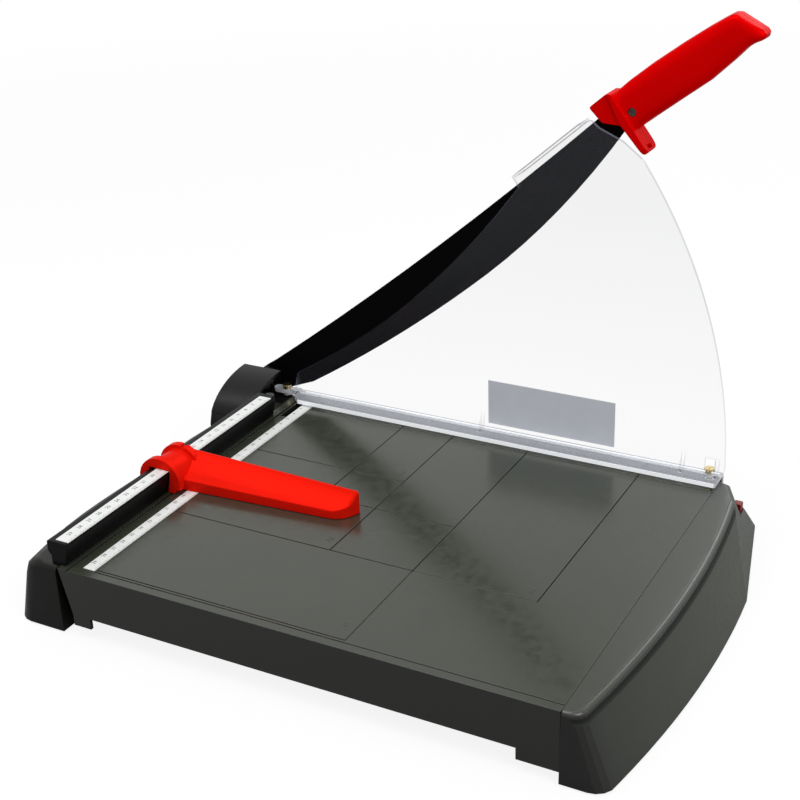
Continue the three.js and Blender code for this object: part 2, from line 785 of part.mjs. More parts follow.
function boardMesh() {
  const body = join(boardTray(), boardRibs(), boardBosses());
  return mesh('board', cut(body, ...formatLines(), ...boardOpenings(), springPocket(shieldScrewPlaces[1]),
    ...fixedScrews(fit), ...beamScrews(fit)), charcoal());
}

// Screws; grow gives their clearance holes
function fixedScrews(grow) {
  return fixedScrewPlaces.map((place) => {
    const z = boardTop - fixedScrewDrop;
    const face = grow ? overrun : -flushSink;
    const head = coneX(-place, z, fixedScrewRadius + grow, fixedScrewHead + grow,
      -flushSink - fixedScrewHeadHeight, -flushSink);
    const cap = rodX(-place, z, fixedScrewHead + grow, -flushSink - fit / 2, face + fit / 4);
    const shank = rodX(-place, z, fixedScrewRadius + grow, -fixedScrewLength - grow, -flushSink);
    return grow ? join(head, shank, cap) : join(head, shank);
  });
}

function beamScrews(grow) {
  return [frontBeam, rearBeam].flatMap((beam) => tabPlaces.map((x) => {
    const y = beam.seamY - beam.way * tabScrewInset;
    const top = tabGround - fit + beamScrewLength;
    const shank = rodZ(-x, y, beamScrewRadius + grow, tabGround - fit - beamScrewHeadHeight / 2, top + grow);
    if (grow) return shank;
    return join(shank, rodZ(-x, y, beamScrewHead, tabGround - fit - beamScrewHeadHeight, tabGround - fit));
  }));
}

function bracketScrews(grow) {
  return bracketScrewPlaces.map(([x, y]) => {
    const shank = rodZ(-x, y, beamScrewRadius + grow, boardTop - beamScrewLength, boardTop + fit);
    if (grow) return shank;
    return join(shank, rodZ(-x, y, beamScrewHead, boardTop + fit, boardTop + fit + beamScrewHeadHeight));
  });
}

function railScrews(grow) {
  const low = boardTop - beamWall - fit - beamScrewHeadHeight;
  return railScrewPlaces.map((x) => {
    const top = boardTop + railScrewRise;
    const shank = rodZ(-x, railScrewBack, beamScrewRadius + grow, low + beamScrewHeadHeight / 2, top + grow);
    const head = rodZ(-x, railScrewBack, beamScrewHead + grow, low - grow, low + beamScrewHeadHeight + grow);
    return join(shank, head);
  });
}

function fixedBladeMesh() {
  const bar = box(-fixedBladeThickness, 0, -boardDepth, fixedBladeBack, boardTop - fixedBladeHeight, boardTop);
  return mesh('fixed_blade', cut(bar, ...fixedScrews(fit)), steel());
}

// Hub cover: quarter-round shell, open to the operator and to the arm
function hubProfile(inset) {
  const curve = arc(-hubCrest, hubSpring, hubWidth - hubCrest - inset, hubRise - inset, Math.PI, Math.PI / 2, hubSteps)
    .filter(([, z]) => z > boardTop + fit);
  const rise = boardTop + fit - hubSpring;
  const run = (hubWidth - hubCrest - inset) * Math.sqrt(1 - (rise / (hubRise - inset)) ** 2);
  const low = boardTop + fit - (inset ? overrun : 0);
  const side = -hubCrest + (inset ? overrun : 0);
  return [[side, low], [-hubCrest - run, low], [-hubCrest - run, boardTop + fit], ...curve,
    ...(inset ? [[side, hubSpring + hubRise - inset]] : [])];
}

function hubCoverMesh() {
  const shell = prismY(hubProfile(0), hubFront, hubBack);
  const hollow = prismY(hubProfile(hubWall), hubFront - overrun, hubBack - hubWall);
  return mesh('hub_cover', cut(shell, hollow), charcoal());
}

// Bracket with a flange let into the beam and an upright eye for the pivot
const pivotZ = boardTop + pivotRise;

function bracketMesh() {
  const face = -bracketPlane;
  const flange = box(face - bracketWidth, face, bracketFront, bracketBack, boardTop - bracketFlange, boardTop);
  const eye = arc(pivotBack, pivotZ, bracketEye, bracketEye, 0, Math.PI, roundSides / 2);
  const foot = [[pivotBack - bracketEye, boardTop - bracketFlange],
    [pivotBack + bracketEye - fit, boardTop - bracketFlange]];
  const upright = prismX([...eye, ...foot], face - bracketThickness, face);
  const hole = rodX(pivotBack, pivotZ, pivotRadius + fit, face - bracketThickness - overrun, overrun);
  const pocket = rodZ(-tongueMiddle, -shieldScrewPlaces[0], springHole, 0, boardTop + overrun);
  return mesh('pivot_bracket', cut(join(flange, upright), hole, pocket, ...bracketScrews(fit)), blackSteel());
}

function hexX(flat, x0, x1, y, z) {
  return rodX(y, z, flat / 2 / Math.cos(Math.PI / hexSides), x0, x1, hexSides);
}

function pivotBoltMesh() {
  const head = -bracketPlane - bracketThickness - plateGap;
  const shank = rodX(pivotBack, pivotZ, pivotRadius, head - fit, boltEnd);
  const cap = rodX(pivotBack, pivotZ, boltHeadRadius, head - boltHeadHeight, head);
  const socket = head - boltHeadHeight / 2;
  const driver = hexX(boltHeadRadius, head - boltHeadHeight - overrun, socket, pivotBack, pivotZ);
  return mesh('pivot_bolt', cut(join(shank, cap), driver), zinc());
}

function ringX(radius, hole, x0, x1) {
  const bore = rodX(pivotBack, pivotZ, hole, x0 - overrun, x1 + overrun);
  return cut(rodX(pivotBack, pivotZ, radius, x0, x1), bore);
}

const barFace = bladePlane + bladeThickness + plateGap;
const armOuter = barFace + barThickness;

function pivotStack() {
  const hole = pivotRadius + plateGap;
  const shimStart = -bracketPlane + (bracketPlane + bladePlane - shimThickness) / 2;
  const washerStart = armOuter + plateGap;
  const nutStart = washerStart + washerThickness + plateGap;
  const nut = cut(hexX(nutFlat, nutStart, nutStart + nutHeight, pivotBack, pivotZ),
    rodX(pivotBack, pivotZ, pivotRadius + plateGap, nutStart - overrun, nutStart + nutHeight + overrun));
  return [
    mesh('pivot_shim', ringX(shimRadius, hole, shimStart, shimStart + shimThickness), nylon()),
    mesh('spring_washer', ringX(washerRadius, hole, washerStart, washerStart + washerThickness), zinc()),
    mesh('pivot_nut', nut, zinc()),
  ];
}

// Rail with a head that overhangs the paper and a hooked rear lip
function railProfile(grow) {
  const front = (y) => -y - grow;
  return rounded([
    [front(railFootFront), boardTop - (grow ? overrun : 0)],
    [front(railHeadFront), boardTop + railHeight - railCorner * 2],
    [front(railHeadFront), boardTop + railHeight + grow, railCorner],
    [railHeadBack + grow, boardTop + railHeight + grow, railCorner],
    [railHeadBack + grow, boardTop + railLip - grow],
    [railFootBack + grow, boardTop + railLip - railCorner * 2 - grow],
    [railFootBack + grow, boardTop - (grow ? overrun : 0)],
  ]);
}

function railMesh() {
  const bar = prismX(railProfile(0), -railEnd, -railStart);
  const hollow = box(-railEnd + railWall, -railStart - railWall, boardBack + seam, railFootBack - railWall,
    boardTop - overrun, boardTop + railHeight - railWall);
  const bosses = railScrewPlaces.map((x) => box(-x - beamScrewHead, -x + beamScrewHead, 0, railFootBack,
    boardTop, boardTop + railHeight - railWall));
  const body = join(cut(bar, hollow), ...bosses.map((boss) => boss.intersect(bar)));
  return mesh('rail', cut(body, ...railScrews(fit)), black());
}

function railStripMesh() {
  const y = railStripMiddle;
  return mesh('rail_strip', box(-railEnd + railWall, -railStripStart, y - railStripWidth / 2, y + railStripWidth / 2,
    boardTop + railHeight, boardTop + railHeight + railStripThickness), white());
}

function scaleStripMesh() {
  return mesh('scale_strip', box(-boardWidth + borderInset + fit, -stripStart, -stripEdge - stripWidth, -stripEdge,
    boardTop - stripSunk, boardTop - stripSunk + stripThickness), white());
}

function feetMeshes() {
  const feet = [frontBeam, rearBeam].flatMap((beam) => footPlaces.map(([x, reach]) => {
    const y = beam.seamY + beam.way * reach;
    return join(rodZ(-x, y, footRadius, 0, footHeight),
      rodZ(-x, y, footSpigotRadius, footHeight - fit, footHeight + footSpigotHeight));
  }));
  return meshes('rubber_foot', feet, rubber);
}

// Arm: outlines are (y, z) in the arm's own frame, y = -s and z = d
function armTop(s) {
  const along = s / bladeEnd;
  const middle = armTopMiddle - (armTopStart + armTopEnd) / 2;
  return mix(armTopStart, armTopEnd, along) + middle * bowed(along);
}

function edgeDrop(s) {
  const span = s < edgeBelly ? edgeBelly - edgeStart : bladeEnd - edgeBelly;
  const depth = s < edgeBelly ? edgeBellyDrop - edgeStartDrop : edgeBellyDrop - edgeEndDrop;
  return edgeBellyDrop - depth * (Math.abs(s - edgeBelly) / span) ** 2;
}

function alongArm(from, to, steps) {
  return Array.from({ length: steps + 1 }, (_, i) => mix(from, to, i / steps));
}

function bladeMesh() {
  const edge = alongArm(edgeStart, bladeEnd, edgeSteps);
  const back = alongArm(bladeEnd, armEye, edgeSteps / 2);
  const eye = arc(0, 0, armEye, armEye, Math.PI / 2, -Math.PI / 2, roundSides / 2);
  const cutting = edge.map((s) => [-s, -edgeDrop(s)]);
  const outline = [...eye, ...cutting, ...back.map((s) => [-s, armTop(s) - plateGap])];
  const plate = prismX(outline, bladePlane, bladePlane + bladeThickness);
  const outer = bladePlane + bladeThickness;
  const bevel = loft(alongArm(edgeStart - overrun, bladeEnd + overrun, edgeSteps).map((s) => {
    const low = -edgeDrop(s);
    return [[outer + overrun, low - overrun], [bladePlane + bladeEdge, low - overrun],
      [bladePlane + bladeEdge, low], [outer, low + bladeBevel], [outer + overrun, low + bladeBevel]]
      .map(([x, d]) => new THREE.Vector3(x, -s, d));
  }), (p) => [p.x, p.z]);
  const hole = rodX(0, 0, pivotRadius + fit, 0, armOuter);
  return mesh('cutting_blade', cut(plate, bevel, hole, ...bladeScrews(fit)), blackSteel());
}

function armBarMesh() {
  const lower = alongArm(armEye, handleStart, edgeSteps).map((s) => {
    const fall = barTangDrop + (edgeBelly - s) * barFallShare;
    const deep = Math.min(edgeDrop(Math.max(s, edgeStart)) - barInset, fall);
    return [-s, -Math.max(deep, barTangDrop - fit)];
  });
  const tang = [[-handleStart, -barTangDrop], [-barEnd, -barTangDrop, barTangRound],
    [-barEnd, barTangHeight - barTangDrop, barTangRound],
    [-handleStart - armEye, barTangHeight - barTangDrop]];
  const back = alongArm(handleStart, armEye, edgeSteps / 2).map((s) => [-s, armTop(s)]);
  const eye = arc(0, 0, armEye, armEye, Math.PI / 2, -Math.PI / 2, roundSides / 2);
  const plate = prismX([...eye, ...lower, ...rounded(tang), ...back], barFace, armOuter);
  const hole = rodX(0, 0, pivotRadius + fit, 0, armOuter + overrun);
  const screw = rodX(-handleScrewAlong, -handleScrewDrop, handleScrewRadius + fit, 0, armOuter + overrun);
  return mesh('arm_bar', cut(plate, hole, screw, ...bladeScrews(fit)), blackSteel());
}

function bladeScrews(grow) {
  return bladeScrewPlaces.map(([s, drop]) => {
    const start = bladePlane + plateGap;
    const open = grow ? overrun : 0;
    const head = rodX(-s, -drop, bladeScrewHead + grow, start - open, start + bladeScrewHeadHeight);
    const shank = rodX(-s, -drop, bladeScrewRadius + grow, start, armOuter + bladeNutHeight + grow);
    return join(head, shank);
  });
}

function bladeScrewMeshes() {
  const sockets = bladeScrewPlaces.map(([s, drop]) => hexX(bladeScrewRadius * 2, 0,
    bladePlane + bladeScrewHeadHeight / 2, -s, -drop));
  return meshes('blade_screw', bladeScrews(0).map((screw, i) => cut(screw, sockets[i])), blackSteel);
}

function bladeNutMeshes() {
  const start = armOuter + plateGap;
  const nuts = bladeScrewPlaces.map(([s, drop]) => cut(
    hexX(bladeNutFlat, start, start + bladeNutHeight, -s, -drop),
    rodX(-s, -drop, bladeScrewRadius + plateGap, start - overrun, start + bladeNutHeight + overrun),
  ));
  return meshes('blade_nut', nuts, blackSteel);
}

// Handle half on one side of the parting plane
function gripHalfBody(side) {
  const stations = [...gripStations, gripEnd];
  const tops = [...gripTops, gripTipTop];
  const drops = [...gripDrops, gripTipDrop];
  const halves = [...gripHalves, gripTipHalf];
  const rings = stations.map((station, i) => {
    const middle = (tops[i] - drops[i]) / 2;
    const tall = (tops[i] + drops[i]) / 2;
    return Array.from({ length: gripSides + 1 }, (_, k) => {
      const angle = Math.PI * k / gripSides;
      const wide = Math.sin(angle) ** gripFlatShare;
      const high = Math.sign(Math.cos(angle)) * Math.abs(Math.cos(angle)) ** gripCrownShare;
      return new THREE.Vector3(handleMiddle + side * (handleGap / 2 + halves[i] * wide),
        -handleStart - station, middle + tall * high);
    });
  });
  return loft(rings, (p) => [p.x, p.z]);
}

function onHandle([station, d, radius]) {
  return [-handleStart - station, d, radius];
}

function collar() {
  const outline = rounded([
    onHandle([0, collarTop, collarRound]), onHandle([guardRear[0][0], collarTop, collarRound]),
    onHandle([guardFront[1][0] - guardEdgeRound, guardFront[1][1]]), onHandle([...collarHeel, collarRound]),
    onHandle([...collarNose, collarRound]),
  ]);
  return prismX(outline, handleMiddle - collarHalf, handleMiddle + collarHalf);
}

// Plate across the arm that keeps the fingers off the blade
function guardPlate() {
  const [near, far] = guardSides;
  const edge = (point, i, all) => onHandle(i % (all.length - 1) ? point : [...point, guardEdgeRound]);
  const side = rounded([...guardFront.map(edge), ...guardRear.map(edge)].reverse());
  const low = guardFront[0][1];
  const high = guardRear[0][1];
  const face = rounded([[near, high], [near, low, guardCorner], [far, low, guardCorner], [far, high]]);
  return prismX(side, near, far).intersect(prismY(face, -handleStart - gripEnd, -handleStart + overrun));
}

function latchPocket() {
  const face = -handleStart - mix(guardFront[0][0], guardFront[1][0], guardPocketShare());
  return box(latchSides[0] - guardPocketGap, latchSides[1] + guardPocketGap,
    face - overrun, face + guardPocketDepth, ...guardPocket);
}

function guardPocketShare() {
  const middle = (guardPocket[0] + guardPocket[1]) / 2;
  return (middle - guardFront[0][1]) / (guardFront[1][1] - guardFront[0][1]);
}

function handleHalf(name, side) {
  const span = (near, far) => [handleMiddle + side * near, handleMiddle + side * far].sort((a, b) => a - b);
  const reach = gripHalves[2] * 2;
  const halfSpace = box(...span(handleGap / 2, reach), -handleStart - gripEnd * 2, 0, -reach * 2, reach * 2);
  const slotTop = armTop(handleStart) + fit * 2;
  const barSlot = box(barFace - fit, armOuter + fit, -barEnd - fit, 0, -barTangDrop - fit, slotTop);
  const slotLow = -edgeDrop(handleStart) - fit;
  const bladeSlot = box(bladePlane - fit, barFace, -bladeEnd - fit * 2, 0, slotLow, slotTop);
  const screw = rodX(-handleScrewAlong, -handleScrewDrop, handleScrewRadius + fit, ...span(-overrun, reach));
  const sink = rodX(-handleScrewAlong, -handleScrewDrop, handleScrewHead + fit,
    ...span(handleScrewHalf - handleScrewHeadHeight, reach));
  const front = join(collar(), guardPlate()).intersect(halfSpace);
  const body = join(gripHalfBody(side), front);
  return mesh(name, cut(body, latchPocket(), barSlot, bladeSlot, screw, sink), red());
}

function handleScrewMesh() {
  const face = handleMiddle - handleScrewHalf;
  const far = handleMiddle + handleScrewHalf;
  const head = rodX(-handleScrewAlong, -handleScrewDrop, handleScrewHead, face, face + handleScrewHeadHeight - fit);
  const shank = rodX(-handleScrewAlong, -handleScrewDrop, handleScrewRadius, face + fit, far);
  const socket = hexX(handleScrewRadius * 2, face - overrun, face + handleScrewHeadHeight / 2,
    -handleScrewAlong, -handleScrewDrop);
  return mesh('handle_screw', cut(join(head, shank), socket), zinc());
}

function handleNutMesh() {
  const far = handleMiddle + handleScrewHalf;
  const nut = hexX(handleNutFlat, far - handleScrewHeadHeight + fit, far,
    -handleScrewAlong, -handleScrewDrop);
  return mesh('handle_nut', cut(nut, rodX(-handleScrewAlong, -handleScrewDrop, handleScrewRadius + plateGap,
    far - handleScrewHeadHeight - overrun, far + overrun)), zinc());
}

// Shield: sheet, lip over the arm, pressing foot and gussets in one clear moulding
function onArm(s, d) {
  const angle = degrees(armRestAngle);
  const y = pivotBack - s * Math.cos(angle) + d * Math.sin(angle);
  return [y, pivotZ + s * Math.sin(angle) + d * Math.cos(angle)];
}

const footLow = boardTop + footRise;
const footHigh = footLow + footThickness;

function shieldSheet() {
  const [low, high] = [degrees(shieldLowAngle), degrees(shieldHighAngle)];
  const outer = arc(pivotBack, pivotZ, -shieldReach, shieldReach, low, high, shieldArcSteps);
  const start = new THREE.Vector2(...onArm(shieldEdgeEnd, -shieldEdgeDrop));
  const end = new THREE.Vector2(shieldBack, boardTop + shieldBackRise);
  const across = end.clone().sub(start).rotateAround(new THREE.Vector2(), -Math.PI / 2).normalize();
  const hollow = Array.from({ length: shieldEdgeSteps + 1 }, (_, i) => {
    const share = i / shieldEdgeSteps;
    const point = start.clone().lerp(end, share).addScaledVector(across, shieldSag * bowed(share));
    return [point.x, point.y];
  });
  const corner = cornerCut.map(([station, d]) => onArm(handleStart + station, d));
  const outline = [[-footFront, footLow], ...outer, ...corner, onArm(lipEnd, lipTop),
    onArm(lipStart, lipTop), ...hollow, [shieldBack + gussetFoot / 2, footLow]];
  return prismX(outline, -shieldPlane - shieldThickness, -shieldPlane);
}

function shieldLip() {
  const corners = [onArm(lipStart, lipTop - lipThickness), onArm(lipEnd, lipTop - lipThickness),
    onArm(lipEnd, lipTop), onArm(lipStart, lipTop)];
  return prismX(corners, -shieldPlane - shieldThickness, lipOver);
}

function shieldFoot() {
  const left = -shieldPlane - footWidth;
  const near = -tongueMiddle - tongueWidth / 2;
  const far = -tongueMiddle + tongueWidth / 2;
  const plan = rounded([
    [left, -footFront, footCorner], [-shieldPlane, -footFront], [-shieldPlane, footBack + tongueWidth],
    [far, footBack + tongueWidth], [far, tongueBack, tongueWidth * tongueRoundShare],
    [near, tongueBack, tongueWidth * tongueRoundShare],
    [near, tongueNeck], [left, footBack],
  ]);
  const fillet = prismY([[-shieldPlane - shieldThickness - footFillet, footHigh - fit],
    [-shieldPlane - shieldThickness + fit, footHigh - fit],
    [-shieldPlane - shieldThickness + fit, footHigh + footFillet],
    [-shieldPlane - shieldThickness, footHigh + footFillet]], -footFront, shieldBack);
  return join(prismZ(plan, footLow, footHigh), fillet);
}

function gussets() {
  const face = -shieldPlane - shieldThickness;
  return gussetPlaces.map((place) => prismY([[face - gussetFoot, footHigh - fit], [face + fit, footHigh - fit],
    [face + fit, footHigh + gussetHeight], [face, footHigh + gussetHeight]],
  -place - gussetThickness / 2, -place + gussetThickness / 2));
}

function shieldMesh() {
  const body = join(shieldSheet(), shieldLip(), shieldFoot(), ...gussets());
  const holes = shieldScrewPlaces.flatMap((place) => [
    rodZ(-tongueMiddle, -place, shieldScrewRadius + fit, footLow - overrun, footHigh + overrun),
    box(-tongueMiddle - tongueWidth / 2, -shieldPlane + overrun,
      -place - tongueWidth / 2, -place + tongueWidth / 2, footHigh, footHigh + footPocketHeight),
  ]);
  return mesh('shield', cut(body, ...holes), clear());
}

function shieldScrewMesh(name, place) {
  const head = footHigh + plateGap;
  const shank = rodZ(-tongueMiddle, -place, shieldScrewRadius, shieldScrewEnd, head + fit);
  const cap = rodZ(-tongueMiddle, -place, shieldScrewHead, head, head + shieldScrewHeadHeight);
  const slot = box(-tongueMiddle - shieldScrewHead, -tongueMiddle + shieldScrewHead,
    -place - fit, -place + fit,
    head + shieldScrewHeadHeight * slotFloorShare, head + shieldScrewHeadHeight + overrun);
  return mesh(name, cut(join(shank, cap), slot), brass());
}

// Helix whose two ends stand upright for one wire diameter
function springMesh(name, place) {
  const low = springFloor + fit / 2;
  const high = footLow - fit / 2;
  const steps = springCurls * springCurlSteps;
  const climb = (high - low - springWire * 2) / springCurls;
  const path = [];
  for (let i = 0; i <= steps; i += 1) {
    const turn = 2 * Math.PI * i / springCurlSteps;
    path.push(new THREE.Vector3(-tongueMiddle + springRadius * Math.cos(turn),
      -place + springRadius * Math.sin(turn), low + springWire + climb * i / springCurlSteps));
  }
  const foot = path[0].clone().setZ(low);
  const head = path[steps].clone().setZ(high);
  const gap = selfGap(path, springCurlSteps) - springWire;
  console.log(`${name}: least gap between curls ${gap.toFixed(2)} mm`);
  return mesh(name, tube([foot, ...path, head], springWire / 2, springSides), steel());
}

function selfGap(path, neighbours) {
  let least = Infinity;
  path.forEach((a, i) => path.forEach((b, k) => {
    if (k - i > neighbours / 2) least = Math.min(least, a.distanceTo(b));
  }));
  return least;
}

// Tube through points, its first and last rings square to the Z axis
function tube(points, radius, sides) {
  const last = points.length - 1;
  const rings = points.map((point, i) => {
    const ahead = points[Math.min(i + 1, last)].clone().sub(points[Math.max(i - 1, 0)]).normalize();
    const way = i === 0 || i === last ? axisZ : ahead;
    const outward = point.clone().sub(new THREE.Vector3(-tongueMiddle, point.y, point.z));
    const middle = new THREE.Vector3(-tongueMiddle, (points[0].y + points[last].y) / 2, point.z);
    const side = point.clone().sub(middle).projectOnPlane(way).normalize();
    const up = way.clone().cross(side).normalize();
    return outward && Array.from({ length: sides }, (_, k) => {
      const angle = 2 * Math.PI * k / sides;
      return point.clone().addScaledVector(side, radius * Math.cos(angle))
        .addScaledVector(up, radius * Math.sin(angle));
    });
  });
  return loft(rings, (p) => [p.x, p.y]);
}

function labelMesh() {
  const face = -shieldPlane - shieldThickness - plateGap;
  return mesh('shield_label', box(face - labelThickness, face, -labelStart - labelLength, -labelStart,
    boardTop + labelRise, boardTop + labelRise + labelHeight), silver());
}

// Paper guide: dished, tapering body with an arched saddle that rides on the rail
function cornerCutBack(left, radius) {
  const past = THREE.MathUtils.clamp(radius - left, 0, radius);
  return radius - Math.sqrt(radius * radius - past * past);
}

// Height of the top over the board, at a way t in from the tall side
function guideTop(t, share) {
  const width = mix(guideRootWidth, guideTipWidth, share);
  const high = mix(guideRootHeight, guideTipHeight, share);
  const low = mix(guideLowRootHeight, guideLowTipHeight, share);
  const edge = guideRim + guideRimSlope;
  if (t <= guideRim) return high;
  if (t <= edge) return high - guideRimFall * (t - guideRim) / guideRimSlope;
  const across = (t - edge) / (width - edge);
  return mix(high - guideRimFall, low, across) - guideDish * bowed(across);
}

function guideRing(along, inset) {
  const share = along / guideLength;
  const left = guideLength - inset - along;
  const width = mix(guideRootWidth, guideTipWidth, share);
  const near = inset + cornerCutBack(left, guideTallCorner - inset);
  const far = width - inset - cornerCutBack(left, guideLowCorner - inset);
  const round = inset ? 0 : guideEdgeRound;
  const sink = inset ? inset * guideRoofShare : cornerCutBack(left, guideNose);
  const rim = Math.max(guideRim, near + guideEdgeRound + guideRimSlope / 2);
  const foot = rim + guideRimSlope;
  const ways = Array.from({ length: guideDishSteps }, (_, i) => (
    mix(foot, far - guideEdgeRound, i / guideDishSteps)));
  const top = (t) => boardTop + guideTop(t, share) - sink;
  const ground = boardTop + (inset ? -overrun : slide);
  const brink = top(far - guideEdgeRound);
  const section = [
    [near, ground], [near, top(near) - round], [near + guideEdgeRound * knee, top(near) - round * knee],
    [near + guideEdgeRound, top(near)], [rim, top(rim)], ...ways.map((t) => [t, top(t)]),
    [far - guideEdgeRound, brink], [far - guideEdgeRound * knee, brink - round * knee], [far, brink - round], [far, ground],
  ];
  const rake = share * guideTipRake / guideTipWidth;
  return section.map(([t, z]) => new THREE.Vector3(-guideFace - t, -along + rake * t, z));
}

function guideBody(inset) {
  const corner = guideLowCorner - inset;
  const straight = guideLength - inset - corner;
  const places = [
    ...Array.from({ length: guideSteps + 1 }, (_, i) => straight * i / guideSteps),
    ...Array.from({ length: guideCornerSteps }, (_, i) => straight
      + corner * Math.sin(Math.PI / 2 * (i + 1) / guideCornerSteps)),
  ];
  return loft(places.map((along) => guideRing(along, inset)), (p) => [p.x, p.z]);
}

function saddleArch(radius, x0, x1, foot) {
  const dip = Math.asin((saddleRise - foot) / radius);
  const outline = arc(saddleMiddle, boardTop + saddleRise, radius, radius, -dip, Math.PI + dip, saddleSteps);
  return prismX(outline, x0, x1);
}

function guideMesh() {
  const farRing = [-saddleStart - saddleRingWidth, -saddleStart];
  const arms = join(
    cut(guideBody(0), guideBody(guideWall)),
    saddleArch(saddleRadius, -saddleEnd, -saddleStart, slide),
    saddleArch(saddleRing, -saddleEnd, -saddleEnd + saddleRingWidth, saddleRingFoot),
    saddleArch(saddleRing, ...farRing, saddleRingFoot),
  );
  const tunnel = prismX(railProfile(saddleGap), -saddleEnd - overrun, -guideFace + overrun);
  const notch = box(farRing[0] - fit, farRing[1] + fit, ...readNotch, boardTop + readNotchRise,
    boardTop + saddleRise + saddleRing + overrun);
  const middle = -(saddleStart + saddleEnd) / 2;
  const pocket = box(middle - leafLength / 2 - slide, middle + leafLength / 2 + slide, railHeadBack,
    railHeadBack + leafPocket, boardTop + railLip, boardTop + railHeight - fit);
  return mesh('paper_guide', cut(arms, tunnel, notch, pocket), brightRed());
}

// Bowed leaf that rubs on the rail's rear lip
function leafMesh() {
  const middle = -(saddleStart + saddleEnd) / 2;
  const low = boardTop + (railLip + railHeight - leafHeight) / 2;
  const line = (offset) => Array.from({ length: leafSteps + 1 }, (_, i) => {
    const share = i / leafSteps;
    const bow = leafBow * bowed(share);
    const behind = railHeadBack + leafPocket - leafThickness - fit / 2;
    return [middle + leafLength * (share - 0.5), behind - bow + offset];
  });
  const outline = [...line(0), ...line(leafThickness).reverse()];
  return mesh('guide_leaf', prismZ(outline, low, low + leafHeight), steel());
}

// Latch whose nose enters the guard's pocket
function endFace(z) {
  return mix(frontEndSide[0], frontEndSide[1], (boardTop - z) / (boardTop - beamGround));
}

function latchMesh() {
  const [near, far] = latchSides;
  const [rear, front] = [latchRear, latchFront];
  const nose = -boardDepth - latchNose;
  const seat = ledgeTop + fit / 2;
  const under = ledgeTop - beamWall - fit;
  const hook = prismX(rounded([
    [front, seat], [rear, seat], [rear, latchTop - latchNoseHeight], [nose, latchTop - latchNoseHeight],
    [nose, latchTop, latchRound / 2], [front, latchTop, latchRound],
  ]), near, far);
  const skirt = box(near - latchSkirt, far + latchSkirt, front, rear + latchSkirt, seat, seat + latchSkirt);
  const neck = box(near, far, front, rear, under - latchFlange, seat + latchSkirt);
  const flange = box(near - latchSkirt * 2, far, front, rear + latchSkirt, under - latchFlange, under);
  const leg = box((near + far) / 2, far, front, rear, latchBar[0], under);
  const bar = box((near + far) / 2, endFace(latchBar[0]) + latchTabThickness / 2, front, rear, ...latchBar);
  const [low, high] = latchTabSpan;
  const tab = prismY([[endFace(low) + slide, low], [endFace(low) + slide + latchTabThickness, low],
    [endFace(high) + slide + latchTabThickness, high], [endFace(high) + slide, high]],
  -boardDepth - latchTabPlace[1], -boardDepth - latchTabPlace[0]);
  return mesh('arm_latch', join(hook, skirt, neck, flange, leg, bar, tab), red());
}

// Assembly
function armGroup() {
  const group = new THREE.Group();
  group.position.set(0, pivotBack, pivotZ);
  group.rotation.x = -degrees(armRestAngle);
  group.add(armBarMesh(), bladeMesh(), ...bladeScrewMeshes(), ...bladeNutMeshes(),
    handleHalf('handle_half_left', -1), handleHalf('handle_half_right', 1), handleScrewMesh(), handleNutMesh());
  return group;
}

const cutter = new THREE.Group();
cutter.add(
  boardMesh(), frontBeamMesh(), rearBeamMesh(), hubCoverMesh(), ...feetMeshes(),
  ...meshes('beam_screw', beamScrews(0), zinc),
  fixedBladeMesh(), ...meshes('fixed_blade_screw', fixedScrews(0), zinc),
  bracketMesh(), ...meshes('bracket_screw', bracketScrews(0), zinc), pivotBoltMesh(), ...pivotStack(),
  railMesh(), ...meshes('rail_screw', railScrews(0), zinc), railStripMesh(), scaleStripMesh(),
  armGroup(),
  shieldMesh(), labelMesh(),
  shieldScrewMesh('shield_screw_rear', shieldScrewPlaces[0]),
  shieldScrewMesh('shield_screw_front', shieldScrewPlaces[1]),
  springMesh('shield_spring_rear', shieldScrewPlaces[0]),
  springMesh('shield_spring_front', shieldScrewPlaces[1]),
  guideMesh(), leafMesh(), latchMesh(),
);

// The origin is the middle of the footprint, at table height
const bounds = new THREE.Box3().setFromObject(cutter, true);
const middle = bounds.getCenter(new THREE.Vector3());
cutter.position.set(-middle.x, -middle.y, -bounds.min.z);

export default cutter;
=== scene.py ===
import math

import bpy
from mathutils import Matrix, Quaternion, Vector


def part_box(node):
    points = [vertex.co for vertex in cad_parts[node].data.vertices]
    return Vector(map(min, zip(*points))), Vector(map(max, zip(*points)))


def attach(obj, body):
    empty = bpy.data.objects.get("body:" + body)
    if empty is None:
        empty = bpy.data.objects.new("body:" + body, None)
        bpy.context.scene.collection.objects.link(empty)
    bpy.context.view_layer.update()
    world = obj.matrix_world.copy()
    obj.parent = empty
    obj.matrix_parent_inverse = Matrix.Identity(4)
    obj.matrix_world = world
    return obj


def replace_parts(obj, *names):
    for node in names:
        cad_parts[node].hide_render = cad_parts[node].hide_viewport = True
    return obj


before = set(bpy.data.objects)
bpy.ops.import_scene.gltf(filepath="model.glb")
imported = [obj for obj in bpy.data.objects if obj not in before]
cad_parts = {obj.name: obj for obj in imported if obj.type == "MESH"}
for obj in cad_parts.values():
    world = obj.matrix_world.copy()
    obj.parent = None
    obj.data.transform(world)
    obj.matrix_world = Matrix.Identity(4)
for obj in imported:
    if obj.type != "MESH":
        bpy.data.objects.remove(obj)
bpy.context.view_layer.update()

# Places are written in millimetres from the cutting plane (x), the paper stop (y) and the table (z)
MM = 0.001
FIXED_BLADE_BACK = 2.0           # the fixed blade ends this far behind the paper stop
CUT_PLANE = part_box("fixed_blade")[1].x
PAPER_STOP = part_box("fixed_blade")[1].y - FIXED_BLADE_BACK * MM
BOARD_LENGTH = 310.0             # from the cutting plane to just past the beams' far ends


def at(x, y, z):
    return Vector((CUT_PLANE + x * MM, PAPER_STOP + y * MM, z * MM))


